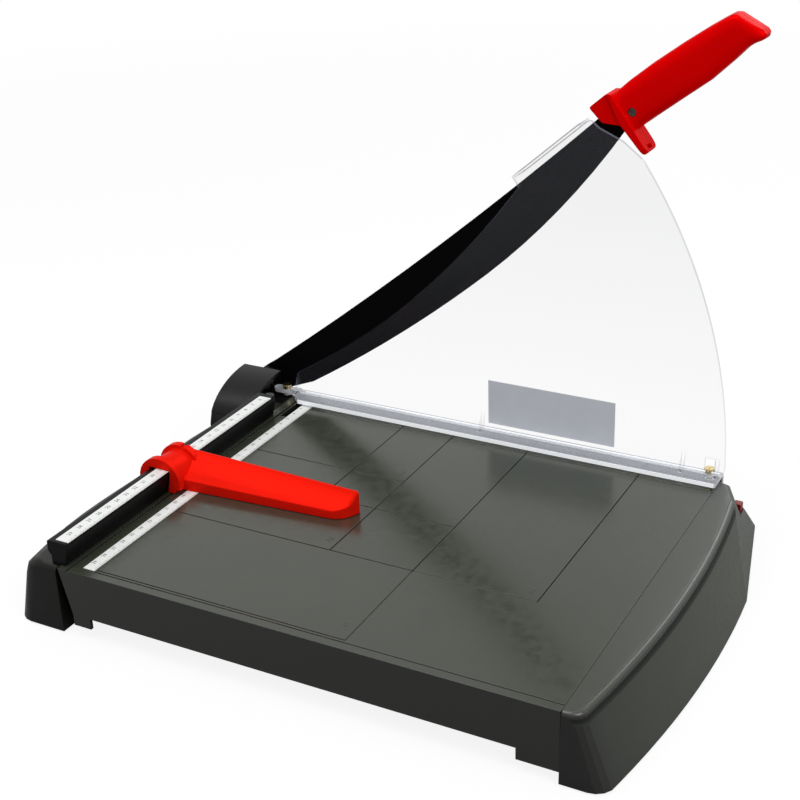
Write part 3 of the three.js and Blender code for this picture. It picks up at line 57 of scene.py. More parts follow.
# Camera at the viewing angle of the photograph, with its angles in degrees
EYE = (-922.855, -597.767, 548.24)
AZIMUTH, ELEVATION, ROLL = -61.152, 24.890, -1.985
IMAGE_SIDE = 800
FOCAL_PIXELS = 1465.6
SENSOR = 36.0
CLIP_NEAR, CLIP_FAR = 0.01, 50.0


def make_camera():
    data = bpy.data.cameras.new("camera")
    data.sensor_width = SENSOR
    data.lens = FOCAL_PIXELS / IMAGE_SIDE * SENSOR
    data.clip_start = CLIP_NEAR
    data.clip_end = CLIP_FAR
    camera = bpy.data.objects.new("camera", data)
    bpy.context.scene.collection.objects.link(camera)
    a, e = math.radians(AZIMUTH), math.radians(ELEVATION)
    back = Vector((math.sin(a) * math.cos(e), -math.cos(a) * math.cos(e), math.sin(e)))
    camera.rotation_mode = "QUATERNION"
    camera.location = at(*EYE)
    roll = Quaternion((0, 0, 1), math.radians(ROLL))
    camera.rotation_quaternion = (-back).to_track_quat("-Z", "Y") @ roll
    bpy.context.scene.camera = camera


# Colours
NOISE_LOW, NOISE_HIGH = 0.3, 0.7     # most values of a noise lie between these


def linear(hex_code):
    """A display colour, written as six hex digits, as linear light."""
    parts = [int(hex_code[i:i + 2], 16) / 255 for i in (0, 2, 4)]
    return [c / 12.92 if c <= 0.04045 else ((c + 0.055) / 1.055) ** 2.4 for c in parts]


def scaled(colour, share):
    return (*[min(1.0, c * share) for c in colour], 1.0)


def grey(level):
    return (level, level, level, 1)


def greys(stops):
    """Ramp stops in grey from pairs of place and level."""
    return [(place, grey(level)) for place, level in stops]


def clouded(colour, low, high):
    """Ramp stops that turn a noise into two shades of a colour."""
    return [(NOISE_LOW, scaled(colour, low)), (NOISE_HIGH, scaled(colour, high))]


# Node helpers
class Nodes:
    """Short calls for a node tree."""

    def __init__(self, tree):
        self.tree = tree

    def node(self, kind, **values):
        """A new node; each value goes to its property, or else to its socket (Base_Color for Base Color)."""
        made = self.tree.nodes.new(kind)
        for key, value in values.items():
            if hasattr(made, key):
                setattr(made, key, value)
            else:
                made.inputs[key.replace("_", " ")].default_value = value
        return made

    def link(self, source, target):
        self.tree.links.new(source, target)

    def combined(self, operation, *sources):
        made = self.node("ShaderNodeMath", operation=operation)
        for source, socket in zip(sources, made.inputs):
            self.link(source, socket)
        return made.outputs["Value"]

    def ranged(self, value, span, to=(0.0, 1.0)):
        """The value's place in a span, as a number between the two in to."""
        made = self.node("ShaderNodeMapRange", From_Min=span[0], From_Max=span[1], To_Min=to[0], To_Max=to[1])
        self.link(value, made.inputs["Value"])
        return made.outputs["Result"]

    def mixed(self, share, low, high):
        """Shader low where the share is 0, and shader high where it is 1."""
        made = self.node("ShaderNodeMixShader")
        self.link(share, made.inputs["Fac"])
        self.link(low, made.inputs[1])
        self.link(high, made.inputs[2])
        return made.outputs["Shader"]


class Shader(Nodes):
    """A material with its Principled shader."""

    # Sockets of the colour version of the mix node
    MIX_LOW, MIX_HIGH, MIX_RESULT = 6, 7, 2

    def __init__(self, name):
        self.material = bpy.data.materials.new(name)
        self.material.use_nodes = True
        super().__init__(self.material.node_tree)
        self.main = self.tree.nodes["Principled BSDF"]

    def set(self, **values):
        for key, value in values.items():
            self.main.inputs[key.replace("_", " ")].default_value = value

    def coords(self, stretch=(1, 1, 1), turn=(0, 0, 0)):
        place = self.node("ShaderNodeTexCoord")
        mapping = self.node("ShaderNodeMapping", Scale=stretch, Rotation=turn)
        self.link(place.outputs["Object"], mapping.inputs["Vector"])
        return mapping.outputs["Vector"]

    def split(self, vector):
        """The x, y and z of a vector, by the names X, Y and Z."""
        made = self.node("ShaderNodeSeparateXYZ")
        self.link(vector, made.inputs["Vector"])
        return made.outputs

    def noise(self, vector, scale, detail=3.0, rough=0.5):
        made = self.node("ShaderNodeTexNoise", Scale=scale, Detail=detail, Roughness=rough)
        self.link(vector, made.inputs["Vector"])
        return made.outputs["Fac"]

    def ramp(self, value, stops):
        made = self.node("ShaderNodeValToRGB")
        elements = made.color_ramp.elements
        while len(elements) < len(stops):
            elements.new(0.5)
        for element, (place, colour) in zip(elements, stops):
            element.position = place
            element.color = colour
        self.link(value, made.inputs["Fac"])
        return made.outputs["Color"]

    def spread(self, noise, middle, swing):
        return self.ranged(noise, (NOISE_LOW, NOISE_HIGH), (middle - swing, middle + swing))

    def bump(self, height, strength, distance, under):
        made = self.node("ShaderNodeBump", Strength=strength, Distance=distance)
        self.link(height, made.inputs["Height"])
        self.link(under, made.inputs["Normal"])
        return made.outputs["Normal"]

    def soft_edge(self, radius):
        return self.node("ShaderNodeBevel", samples=6, Radius=radius).outputs["Normal"]

    def times(self, vector, share):
        made = self.node("ShaderNodeVectorMath", operation="SCALE")
        self.link(vector, made.inputs[0])
        self.link(share, made.inputs["Scale"])
        return made.outputs["Vector"]

    def product(self, first, second):
        made = self.node("ShaderNodeVectorMath", operation="MULTIPLY")
        self.link(first, made.inputs[0])
        self.link(second, made.inputs[1])
        return made.outputs["Vector"]

    def chosen(self, switch, low, high):
        """Colour low where the switch is 0, and colour high where it is 1."""
        made = self.node("ShaderNodeMix", data_type="RGBA")
        self.link(switch, made.inputs["Factor"])
        self.link(low, made.inputs[self.MIX_LOW])
        self.link(high, made.inputs[self.MIX_HIGH])
        return made.outputs[self.MIX_RESULT]

    def squares(self):
        """The object's own normal, squared: how much a face looks along x, y and z."""
        normal = self.node("ShaderNodeTexCoord").outputs["Normal"]
        return self.product(normal, normal)

    def toned(self, colour, shares, along):
        """Painted light and shade: colour times a share for faces along x, y and z; along, if any, varies the
        walls' share.
        """
        squares = self.squares()
        parts = []
        for factors in ((*shares[:2], 0.0), (0.0, 0.0, shares[2])):
            part = self.node("ShaderNodeVectorMath", operation="DOT_PRODUCT")
            self.link(squares, part.inputs[0])
            part.inputs[1].default_value = factors
            parts.append(part.outputs["Value"])
        walls, tops = parts
        share = self.node("ShaderNodeMath", operation="MULTIPLY_ADD")
        self.link(walls, share.inputs[0])
        share.inputs[1].default_value = 1.0
        self.link(tops, share.inputs[2])
        if along is not None:
            self.link(self.along_x(along), share.inputs[1])
        return self.times(colour, share.outputs["Value"])

    def along_x(self, stops):
        """Painted shade by place between the board's far end and the cutting plane, as a share; a stop is x
        and its level.
        """
        place = self.split(self.node("ShaderNodeTexCoord").outputs["Object"])
        part = self.ranged(place["X"], (CUT_PLANE - BOARD_LENGTH * MM, CUT_PLANE))
        return self.ramp(part, greys([(1 + x / BOARD_LENGTH, level) for x, level in stops]))


# Kinds of material: grain is in cells per metre, depth and edge are in millimetres
CLOUD_SCALE = 22.0
BLOTCH_SIZE = 9                      # in grains, of the patches of roughness
SHELL_DARK = linear("292C26")
# Painted shadow in the step under the front beam's bead
COVE_LEVELS = (42.2, 46.8)           # foot and top of the step
COVE_FOOT_SHARE, COVE_TOP_SHARE = 1.3, 0.12
COVE_TOP_AT = 0.6                    # part of the step's height where it is darkest


def moulded(name, colour, rough, grain, depth, mottle=0.05, spec=0.35, edge=0.5, walls=None, along=None,
            gloss=0.0):
    """Moulded plastic: slight colour clouds, an even grain, softened edges, and painted light and shade on
    walls and tops by the way each face looks.
    """
    s = Shader(name)
    place = s.coords()
    clouds = s.noise(place, CLOUD_SCALE, detail=5.0, rough=0.6)
    tone = s.ramp(clouds, clouded(colour, 1 - mottle, 1 + mottle))
    if walls is not None:
        tone = s.toned(tone, walls, along)
    s.link(tone, s.main.inputs["Base Color"])
    fine = s.noise(place, grain, detail=2.0, rough=0.6)
    blotches = s.noise(place, grain / BLOTCH_SIZE)
    s.link(s.spread(blotches, rough, swing=0.05), s.main.inputs["Roughness"])
    normal = s.bump(fine, strength=0.6, distance=depth * MM, under=s.soft_edge(edge * MM))
    s.link(normal, s.main.inputs["Normal"])
    s.set(Specular_IOR_Level=spec, Metallic=gloss)
    if gloss:
        s.set(Specular_Tint=scaled(colour, 1.0))
    return s.material


def streaked(name, colour, rough, metal, stretch, depth=0.01, contrast=0.08, spec=0.5, edge=0.3):
    """Drawn, ground or plated metal: fine streaks along one way."""
    s = Shader(name)
    streaks = s.noise(s.coords(stretch), 1.0, detail=6.0, rough=0.65)
    s.link(s.ramp(streaks, clouded(colour, 1 - contrast, 1 + contrast)), s.main.inputs["Base Color"])
    s.link(s.spread(streaks, rough, swing=0.07), s.main.inputs["Roughness"])
    normal = s.bump(streaks, strength=0.35, distance=depth * MM, under=s.soft_edge(edge * MM))
    s.link(normal, s.main.inputs["Normal"])
    s.set(Metallic=metal, Specular_IOR_Level=spec)
    return s.material


def printed(name, paper, rough):
    """Printed film: a pale, slightly uneven ground."""
    s = Shader(name)
    place = s.coords()
    tone = s.noise(place, 60.0, detail=4.0, rough=0.6)
    s.link(s.ramp(tone, clouded(paper, 0.96, 1.02)), s.main.inputs["Base Color"])
    s.link(s.spread(s.noise(place, 500.0), rough, swing=0.04), s.main.inputs["Roughness"])
    s.set(Specular_IOR_Level=0.4)
    return s.material


# Clear sheet: colour and veil by how far a face turns away, and the foot's by how much a face looks up; the
# pale, denser look edge on and on the foot's sides is a painted reflection
SHEET_TINT_AND_REFLECTION = ((0.24, (0.22, 0.23, 0.26, 1)), (0.55, (0.72, 0.74, 0.83, 1)))
SHEET_VEIL = ((0.22, 0.06), (0.58, 0.32), (0.9, 0.7))
RIM_TONE = ((0.05, (0.40, 0.42, 0.48, 1)), (0.3, (1, 1, 1, 1)))
FOOT_TINT_AND_REFLECTION = ((0.3, (0.95, 0.96, 1.0, 1)), (0.8, (0.62, 0.65, 0.72, 1)))
FOOT_VEIL = ((0.3, 0.75), (0.8, 0.26))
FOOT_TOP = 55.6                      # just above the foot of the shield
FADE_LEVELS = (80.0, 240.0)          # the sheet's veil grows with the height between these
FADE_SHARES = (0.45, 1.15)
SCRATCH_STRETCH, SCRATCH_TURN = (12.0, 90.0, 90.0), (0.7, 0.0, 0.2)


def clear_sheet(name):
    """Clear moulded sheet: a faint veil face on, denser edge on, with a pale foot and darker cut edges; the
    paleness edge on and on the foot's sides is a painted reflection.
    """
    s = Shader(name)
    facing = s.node("ShaderNodeLayerWeight", Blend=0.5).outputs["Facing"]
    height = s.split(s.node("ShaderNodeTexCoord").outputs["Object"])["Z"]
    look = s.split(s.squares())
    tint_and_reflection = s.product(s.ramp(facing, SHEET_TINT_AND_REFLECTION), s.ramp(look["X"], RIM_TONE))
    fade = s.ranged(height, [level * MM for level in FADE_LEVELS], FADE_SHARES)
    veil = s.times(s.ramp(facing, greys(SHEET_VEIL)), fade)
    in_foot = s.node("ShaderNodeMath", operation="LESS_THAN")
    s.link(height, in_foot.inputs[0])
    in_foot.inputs[1].default_value = FOOT_TOP * MM
    switch = in_foot.outputs["Value"]
    s.link(s.chosen(switch, tint_and_reflection, s.ramp(look["Z"], FOOT_TINT_AND_REFLECTION)), s.main.inputs["Base Color"])
    s.link(s.chosen(switch, veil, s.ramp(look["Z"], greys(FOOT_VEIL))), s.main.inputs["Alpha"])
    scratches = s.noise(s.coords(SCRATCH_STRETCH, SCRATCH_TURN), 1.0, detail=4.0, rough=0.6)
    s.link(s.ranged(scratches, (NOISE_LOW, NOISE_HIGH), (0.05, 0.12)), s.main.inputs["Roughness"])
    s.set(Specular_IOR_Level=0.5, IOR=1.49)
    return s.material


def cove(name):
    """Painted shadow in the step under the ridge: dark at its top, as light as the beam's face at its foot.
    """
    s = Shader(name)
    part = s.ranged(s.split(s.coords())["Z"], [level * MM for level in COVE_LEVELS])
    stops = [(0.0, scaled(SHELL_DARK, COVE_FOOT_SHARE)), (COVE_TOP_AT, scaled(SHELL_DARK, COVE_TOP_SHARE))]
    s.link(s.ramp(part, stops), s.main.inputs["Base Color"])
    rough = s.ranged(s.noise(s.coords(), 900.0), (NOISE_LOW, NOISE_HIGH), (0.45, 0.6))
    s.link(rough, s.main.inputs["Roughness"])
    s.set(Specular_IOR_Level=0.2)
    return s.material


def edge_light(name):
    """Painted highlight on the cut edges of the clear foot, where the light leaves the sheet: a pale colour
    and a faint glow.
    """
    s = Shader(name)
    tone = s.noise(s.coords((60.0, 12.0, 60.0)), 1.0, detail=4.0, rough=0.6)
    stops = [(NOISE_LOW, (0.80, 0.82, 0.86, 1)), (NOISE_HIGH, (0.97, 0.98, 1.0, 1))]
    s.link(s.ramp(tone, stops), s.main.inputs["Base Color"])
    s.link(s.ranged(tone, (NOISE_LOW, NOISE_HIGH), (0.2, 0.4)), s.main.inputs["Roughness"])
    s.set(Emission_Color=(0.95, 0.97, 1.0, 1), Emission_Strength=0.3)
    return s.material


# Finishes; walls holds the shares of the colour on faces along x, y and z, which paint light and shade
# SHELL_SHADE paints shade on the front beam's walls, deepest towards its far end
SHELL_SHADE = ((-310.0, 0.3), (-298.0, 0.3), (-286.0, 0.5), (-230.0, 0.72), (-60.0, 1.0))
EVEN_FINE, EVEN_COARSE = (400.0, 400.0, 400.0), (300.0, 300.0, 300.0)
DRAWN_LENGTHWISE, GROUND_DEPTHWISE = (4.0, 900.0, 900.0), (900.0, 5.0, 900.0)


def plastics():
    # The wall shares below paint light and shade on board, shell, rear beam and bead by the way each face
    # looks
    return {
        "board": moulded("board_plastic", linear("33372D"), rough=0.22, grain=1500.0, depth=0.004, spec=0.5,
                         walls=(0.19, 0.6, 1.0)),
        "shell": moulded("shell_plastic", SHELL_DARK, rough=0.34, grain=2600.0, depth=0.01, mottle=0.04,
                         spec=0.4, walls=(0.3, 2.1, 1.55), along=SHELL_SHADE),
        "rear": moulded("rear_plastic", linear("10120E"), rough=0.34, grain=2600.0, depth=0.01, mottle=0.04,
                        spec=0.2, walls=(0.5, 1.0, 1.0)),
        "ridge": moulded("ridge_plastic", SHELL_DARK, rough=0.24, grain=1500.0, depth=0.004, spec=0.6,
                         walls=(0.5, 1.2, 1.6)),
        "cove": cove("step_shadow_paint"),
        # Painted shade for the floors of the engraved lines
        "shade": moulded("shaded_plastic", linear("10110E"), rough=0.7, grain=1500.0, depth=0.004, mottle=0.1,
                         spec=0.08),
        "mark": moulded("raised_mark", linear("454841"), rough=0.3, grain=1500.0, depth=0.002, spec=0.5),
        "hub": moulded("hub_plastic", linear("090A08"), rough=0.3, grain=2600.0, depth=0.01, mottle=0.04,
                       spec=0.16),
        "deep_red": moulded("deep_red_plastic", linear("DA0203"), rough=0.24, grain=200.0, depth=0.0005,
                            mottle=0.03, spec=0.015, edge=0.8, gloss=0.14),
        "bright_red": moulded("bright_red_plastic", linear("E2190B"), rough=0.24, grain=200.0, depth=0.001,
                              mottle=0.03, spec=0.03, edge=0.8, gloss=0.15),
        "lock_red": moulded("lock_red_plastic", linear("7A0C10"), rough=0.36, grain=1100.0, depth=0.01,
                            mottle=0.03, spec=0.4),
        "rubber": moulded("rubber", linear("1A1A1A"), rough=0.75, grain=1800.0, depth=0.04, mottle=0.08,
                          spec=0.2),
        "nylon": moulded("natural_nylon", linear("DAD6C8"), rough=0.45, grain=1400.0, depth=0.01),
        "clear": clear_sheet("clear_plastic"),
        "edge_light": edge_light("painted_glow_edges"),
    }


def metals():
    return {
        "rail": streaked("black_aluminium", linear("080808"), rough=0.34, metal=0.0, stretch=DRAWN_LENGTHWISE,
                         contrast=0.1, spec=0.1),
        "paint": moulded("black_paint", linear("070708"), rough=0.45, grain=120.0, depth=0.0002, mottle=0.06,
                         spec=0.02, edge=0.4),
        "ground": streaked("ground_steel", linear("C4C8CC"), rough=0.3, metal=1.0, stretch=GROUND_DEPTHWISE),
        "zinc": streaked("zinc_plate", linear("C6CACC"), rough=0.32, metal=1.0, stretch=EVEN_COARSE,
                         contrast=0.05),
        "steel": streaked("dark_steel", linear("55504C"), rough=0.3, metal=1.0, stretch=EVEN_COARSE,
                          contrast=0.1),
        "brass": streaked("brass", linear("D6C494"), rough=0.22, metal=1.0, stretch=EVEN_FINE, contrast=0.06),
    }


def prints():
    return {
        "white": printed("white_film", linear("E2E4E2"), rough=0.42),
        "silver": printed("silver_film", linear("D6DAE3"), rough=0.36),
        "ink": moulded("grey_ink", linear("3A3B3D"), rough=0.55, grain=900.0, depth=0.002),
    }


# Which finish each carried-over node takes, by the start of its name; the first match counts
FINISH_OF = [
    ("board", "board"), ("front_beam", "shell"), ("rear_beam", "rear"), ("hub_cover", "hub"),
    ("rubber_foot", "rubber"), ("beam_screw", "zinc"),
    ("fixed_blade_screw", "zinc"), ("fixed_blade", "ground"),
    ("pivot_bracket", "paint"), ("bracket_screw", "zinc"), ("pivot_bolt", "zinc"), ("pivot_shim", "nylon"),
    ("spring_washer", "zinc"), ("pivot_nut", "zinc"),
    ("rail_screw", "zinc"), ("rail_strip", "white"), ("rail", "rail"), ("scale_strip", "white"),
    ("arm_bar", "paint"), ("arm_latch", "lock_red"),
    ("cutting_blade", "paint"), ("blade_screw", "paint"), ("blade_nut", "paint"),
    ("handle_screw", "steel"), ("handle_nut", "zinc"), ("handle", "deep_red"),
    ("shield_label", "silver"), ("shield_screw", "brass"), ("shield_spring", "zinc"), ("shield", "clear"),
    ("paper_guide", "bright_red"), ("guide_leaf", "zinc"),
]

# Angles in degrees over which an edge stays sharp
EDGE_ANGLE = 28
CRISP_ANGLE = 14                     # keeps the facets of the front beam's blade end apart
SHELL_ANGLE = 35
SWEPT_ANGLE = 40
WELD_GAP = 2e-6


def smooth(node, angle):
    """Shades curves smoothly and keeps real edges, without a change to the mesh."""
    mesh = node.data
    if "custom_normal" in mesh.attributes:
        mesh.attributes.remove(mesh.attributes["custom_normal"])
    mesh.polygons.foreach_set("use_smooth", [True] * len(mesh.polygons))
    weld = node.modifiers.new("weld", "WELD")
    weld.merge_threshold = WELD_GAP
    split = node.modifiers.new("edges", "EDGE_SPLIT")
    split.split_angle = math.radians(angle)
    split.use_edge_sharp = False
    even = node.modifiers.new("even", "WEIGHTED_NORMAL")
    even.keep_sharp = True


def dress_nodes(finishes):
    for name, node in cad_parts.items():
        finish = next(f for start, f in FINISH_OF if name.startswith(start))
        node.data.materials.clear()
        node.data.materials.append(finishes[finish])
        smooth(node, CRISP_ANGLE if name == "front_beam" else EDGE_ANGLE)


# Mesh pieces
FONT_SIZE_SHARE = 1.4                # size of the type over the height of its figures


def new_piece(name, mesh, material):
    mesh.materials.clear()
    mesh.materials.append(material)
    piece = bpy.data.objects.new(name, mesh)
    bpy.context.scene.collection.objects.link(piece)
    return piece


def new_mesh(name, points, faces):
    mesh = bpy.data.meshes.new(name)
    mesh.from_pydata([tuple(p) for p in points], [], faces)
    return mesh


class Plates:
    """Gathers thin raised plates and numerals into one mesh."""

    def __init__(self):
        self.points, self.faces = [], []

    def bar(self, x0, x1, y0, y1, low, high):
        corners = [(x0, y0), (x1, y0), (x1, y1), (x0, y1)]
        n = len(corners)
        start = len(self.points)
        self.points += [at(x, y, z) for z in (low, high) for x, y in corners]
        self.faces.append([start + i for i in reversed(range(n))])
        self.faces.append([start + n + i for i in range(n)])
        for i in range(n):
            k = (i + 1) % n
            self.faces.append([start + i, start + k, start + n + k, start + n + i])

    def numeral(self, text, x, y, z, height, thick):
        curve = bpy.data.curves.new("numeral", "FONT")
        curve.body = text
        curve.size = height * MM * FONT_SIZE_SHARE
        curve.align_x = "CENTER"
        curve.align_y = "CENTER"
        curve.extrude = thick * MM / 2
        curve.resolution_u = 2
        holder = bpy.data.objects.new("numeral", curve)
        mesh = bpy.data.meshes.new_from_object(holder)
        start = len(self.points)
        place = at(x, y, z + thick / 2)
        self.points += [v.co + place for v in mesh.vertices]
        self.faces += [[start + i for i in p.vertices] for p in mesh.polygons]
        bpy.data.meshes.remove(mesh)
        bpy.data.objects.remove(holder)
        bpy.data.curves.remove(curve)

    def build(self, name, material, body):
        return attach(new_piece(name, new_mesh(name, self.points, self.faces), material), body)


# Scales
PRINT = 0.03                         # height of the print
TICK_HALF = 0.09
STRIP_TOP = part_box("scale_strip")[1].z / MM
RAIL_STRIP_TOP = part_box("rail_strip")[1].z / MM
SCALE_ROWS = (-21.2, -12.8)          # front and rear edge of the board's scale strip
SCALE_SPAN, RAIL_SPAN = (22, 297), (56, 298)
SCALE_FIGURES, RAIL_FIGURES = (3, 30), (6, 30)
SCALE_TICKS, RAIL_TICKS = (2.6, 1.9, 1.1), (2.4, 1.7, 1.0)   # lengths at 10, 5 and 1 mm
SCALE_FIGURE_HEIGHT, RAIL_FIGURE_HEIGHT = 2.7, 3.0
SCALE_FIGURE_INSET = 2.2             # from the strip's rear edge
RAIL_ROWS = (-3.0, 6.6)
RAIL_FIGURE_SHIFT = 1.2              # behind the strip's middle


def scale(name, finishes, top, front, middle, span, figures, ticks, height):
    """Ticks at each millimetre of the span, and a figure at each centimetre."""
    marks = Plates()
    for mm in range(*span):
        reach = ticks[0] if mm % 10 == 0 else ticks[1] if mm % 5 == 0 else ticks[2]
        marks.bar(-mm - TICK_HALF, -mm + TICK_HALF, front, front + reach, top, top + PRINT)
    for cm in range(*figures):
        marks.numeral(str(cm), -cm * 10, middle, top, height, PRINT)
    marks.build(name, finishes["ink"], "base")


def scale_marks(finishes):
    front, rear = SCALE_ROWS
    scale("scale_print", finishes, STRIP_TOP, front, rear - SCALE_FIGURE_INSET, SCALE_SPAN, SCALE_FIGURES,
          SCALE_TICKS, SCALE_FIGURE_HEIGHT)


def rail_marks(finishes):
    front, rear = RAIL_ROWS
    scale("rail_print", finishes, RAIL_STRIP_TOP, front, (front + rear) / 2 + RAIL_FIGURE_SHIFT, RAIL_SPAN,
          RAIL_FIGURES, RAIL_TICKS, RAIL_FIGURE_HEIGHT)


# Engraved lines and marks on the board
BOARD_TOP = 50.0
SHEETS = (105, 148, 210, 297)
LAST_SHORT_SIDE = 2                  # place of the largest sheet's short side among SHEETS
LINE_HALF = 0.4
LINE_GAP = 0.5                       # between the crosswise lines and the cutting plane
LINE_DEPTHS = (0.5, 0.4)             # of the crosswise and the lengthwise lines
STOP_SIDE, BOARD_FRONT = -21.6, -352.0
BORDER = (-299.85, -299.05)
MARKS = (("A4", -282.5, -201.5), ("A4", -199.0, -289.0), ("A5", -198.0, -141.5), ("A5", -138.0, -202.0),
         ("A6", -137.0, -98.0), ("A6", -93.0, -140.5))
MARK_HEIGHT, MARK_THICK = 4.2, 0.12


def line_shades(finishes):
    """Painted shade on the floors of the engraved format lines; each line ends at the next larger size."""
    shades = Plates()
    cross, along = [BOARD_TOP - depth for depth in LINE_DEPTHS]
    for i, size in enumerate(SHEETS):
        end = -SHEETS[min(i + 1, LAST_SHORT_SIDE)]
        near, far = -size - LINE_HALF, -size + LINE_HALF
        shades.bar(end, -LINE_GAP, near, far, cross, cross + PRINT)
        shades.bar(near, far, end, STOP_SIDE, along + PRINT, along + PRINT * 2)
    shades.bar(*BORDER, BOARD_FRONT, STOP_SIDE, along + PRINT, along + PRINT * 2)
    shades.build("line_shades", finishes["shade"], "base")


def sheet_marks(finishes):
    marks = Plates()
    for text, x, y in MARKS:
        marks.numeral(text, x, y, BOARD_TOP, MARK_HEIGHT, MARK_THICK)
    marks.build("sheet_marks", finishes["mark"], "base")


# Front beam: pairs give a size at the beam's top and at the table
BEAM_GROUND = 1.5
BEAM_LENGTH, BEAM_CORNER = (306.0, 308.0), (10.0, 13.0)
BEAM_REACH, BOW_MIDDLE, BOW_HALF, BOW_DEPTH = (25.2, 44.7), (150.0, 140.0), 140.0, 12.0
BEAM_FACET, BEAM_SEAM = (34.0, 79.0), -352.3
OUTLINE_START = 0.6                  # from the seam to the outline's first point
RIDGE_TURN, RIDGE_RUN = 6, 24        # steps round the corner and along the bow
BEAD_RADIUS, BEAD_IN, BEAD_LEVEL, BEAD_SIDES = 1.9, 1.75, 48.35, 12
# The band under the bead is a thin slab that carries a painted shadow
BAND_LEVELS, BAND_PROUD, BAND_SUNK = (47.0, 46.4, 42.6, 42.0), 0.15, 0.6
BAND_START = 3                       # the step leaves out this many points of the outline


def beam_outline(z):
    """Points of the front beam's outer wall at a height, from its left end along the bow."""
    level = (BOARD_TOP - z) / (BOARD_TOP - BEAM_GROUND)
    pairs = (BEAM_LENGTH, BEAM_CORNER, BEAM_REACH, BOW_MIDDLE, BEAM_FACET)
    length, corner, reach, middle, facet = (top + (table - top) * level for top, table in pairs)

    def bow(x):
        return reach - BOW_DEPTH * ((x + middle) / BOW_HALF) ** 2

    start = corner - length
    centre = bow(start) - corner
    points = [(-length, OUTLINE_START), (-length, centre / 2)]
    for i in range(RIDGE_TURN):
        angle = math.pi * (1 - i / RIDGE_TURN / 2)
        points.append((start + corner * math.cos(angle), centre + corner * math.sin(angle)))
    for i in range(RIDGE_RUN + 1):
        x = start + (-facet - start) * i / RIDGE_RUN
        points.append((x, bow(x)))
    return [Vector((x, BEAM_SEAM - y)) for x, y in points]


def offset_row(out, z):
    """The beam's outline at a height, moved outwards."""
    path = beam_outline(z)
    row = []
    for i, point in enumerate(path):
        way = (path[min(i + 1, len(path) - 1)] - path[max(i - 1, 0)]).normalized()
        row.append(at(point.x + way.y * out, point.y - way.x * out, z))
    return row


def swept(name, material, ring, first=0):
    """A solid that follows the beam's wall; the ring gives its section as outward offsets and heights."""
    rows = [offset_row(out, z)[first:] for out, z in ring]
    count, steps = len(rows), len(rows[0])
    points = [rows[k][i] for i in range(steps) for k in range(count)]
    faces = []
    for i in range(steps - 1):
        here, there = i * count, (i + 1) * count
        for k in range(count):
            after = (k + 1) % count
            faces.append([here + k, here + after, there + after, there + k])
    faces.append(list(reversed(range(count))))
    faces.append([(steps - 1) * count + k for k in range(count)])
    piece = new_piece(name, new_mesh(name, points, faces), material)
    smooth(piece, SWEPT_ANGLE)
    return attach(piece, "base")


def front_ridge(finishes):
    """Rounded bead along the top edge of the front beam, with the step under it, which carries a painted
    shadow.
    """
    turn = [math.tau * k / BEAD_SIDES for k in range(BEAD_SIDES)]
    swept("front_ridge", finishes["ridge"],
          [(BEAD_RADIUS * math.cos(a) - BEAD_IN, BEAD_LEVEL + BEAD_RADIUS * math.sin(a)) for a in turn])
    high, upper, lower, low = BAND_LEVELS
    swept("ridge_shadow_band", finishes["cove"],
          [(-BAND_SUNK, high), (BAND_PROUD, upper), (BAND_PROUD, lower), (-BAND_SUNK, low)], first=BAND_START)


# Far end of the rear beam: there its walls stand nearly upright under a wide round shoulder
SHOULDER_FROM, SHOULDER_FULL = -150.0, -270.0
NARROW_FROM, NARROW_FULL = -110.0, -180.0
EDGE_ROUND = 3.0                     # rounding of the solid's own top edge
SHOULDER_DROP, SHOULDER_OUT, SHOULDER_IN = 12.0, 14.0, 8.0
NARROWER = 3.0
FULL_REACH = 20.0                    # a point this far behind the paper stop moves fully
POST_TOP, POST_TOP_HALF = 48.7, 0.1  # tops of the foot posts inside the beam
POST_DROP = 9.0


def clamped(value):
    return min(1.0, max(0.0, value))


def eased(value, start, full):
    part = clamped((value - start) / (full - start))
    return part * part * (3 - 2 * part)


def shape_shoulder(point):
    """Moves one point of the rear beam's mesh to its place on the shoulder."""
    ring = BOARD_TOP - EDGE_ROUND
    x, z = (point.x - CUT_PLANE) / MM, point.z / MM
    share = eased(x, SHOULDER_FROM, SHOULDER_FULL)
    if abs(z - POST_TOP) < POST_TOP_HALF:
        point.z -= share * POST_DROP * MM
        return
    out = clamped((point.y - PAPER_STOP) / MM / FULL_REACH)
    narrow = NARROWER * eased(x, NARROW_FROM, NARROW_FULL)
    rise = clamped((z - ring) / EDGE_ROUND)
    inset = 1 - math.sqrt(1 - rise * rise)
    height = min(1.0, z / ring)
    point.y += out * height * (share * (SHOULDER_OUT - SHOULDER_IN * inset) - narrow) * MM
    lowered = BOARD_TOP - SHOULDER_DROP * (1 - rise)
    if z < ring:
        lowered = BEAM_GROUND + (lowered - BEAM_GROUND) * (z - BEAM_GROUND) / (ring - BEAM_GROUND)
    point.z += out * share * (lowered - z) * MM


def rear_end(finishes):
    """The rear beam with the round shoulder of its far corner."""
    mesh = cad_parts["rear_beam"].data.copy()
    for vertex in mesh.vertices:
        shape_shoulder(vertex.co)
    piece = new_piece("rear_beam_shell", mesh, finishes["rear"])
    smooth(piece, SHELL_ANGLE)
    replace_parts(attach(piece, "base"), "rear_beam")


# Painted bright highlights on the cut edges and the fillet of the shield's foot
FOOT_LEFT, FOOT_FRONT, FOOT_REAR = -25.5, -352.0, -9.5
FOOT_EDGE = (52.0, 55.15)
EDGE_PROUD, EDGE_SUNK = 0.15, 0.1
FILLET_LINE, FILLET_LEVELS = (-11.9, -11.0), (56.0, 56.75)


def foot_edges(finishes):
    edges = Plates()
    edges.bar(FOOT_LEFT - EDGE_PROUD, FOOT_LEFT + EDGE_SUNK, FOOT_FRONT, FOOT_REAR, *FOOT_EDGE)
    edges.bar(*FILLET_LINE, FOOT_FRONT, FOOT_REAR, *FILLET_LEVELS)
    edges.build("foot_edges", finishes["edge_light"], "shield")


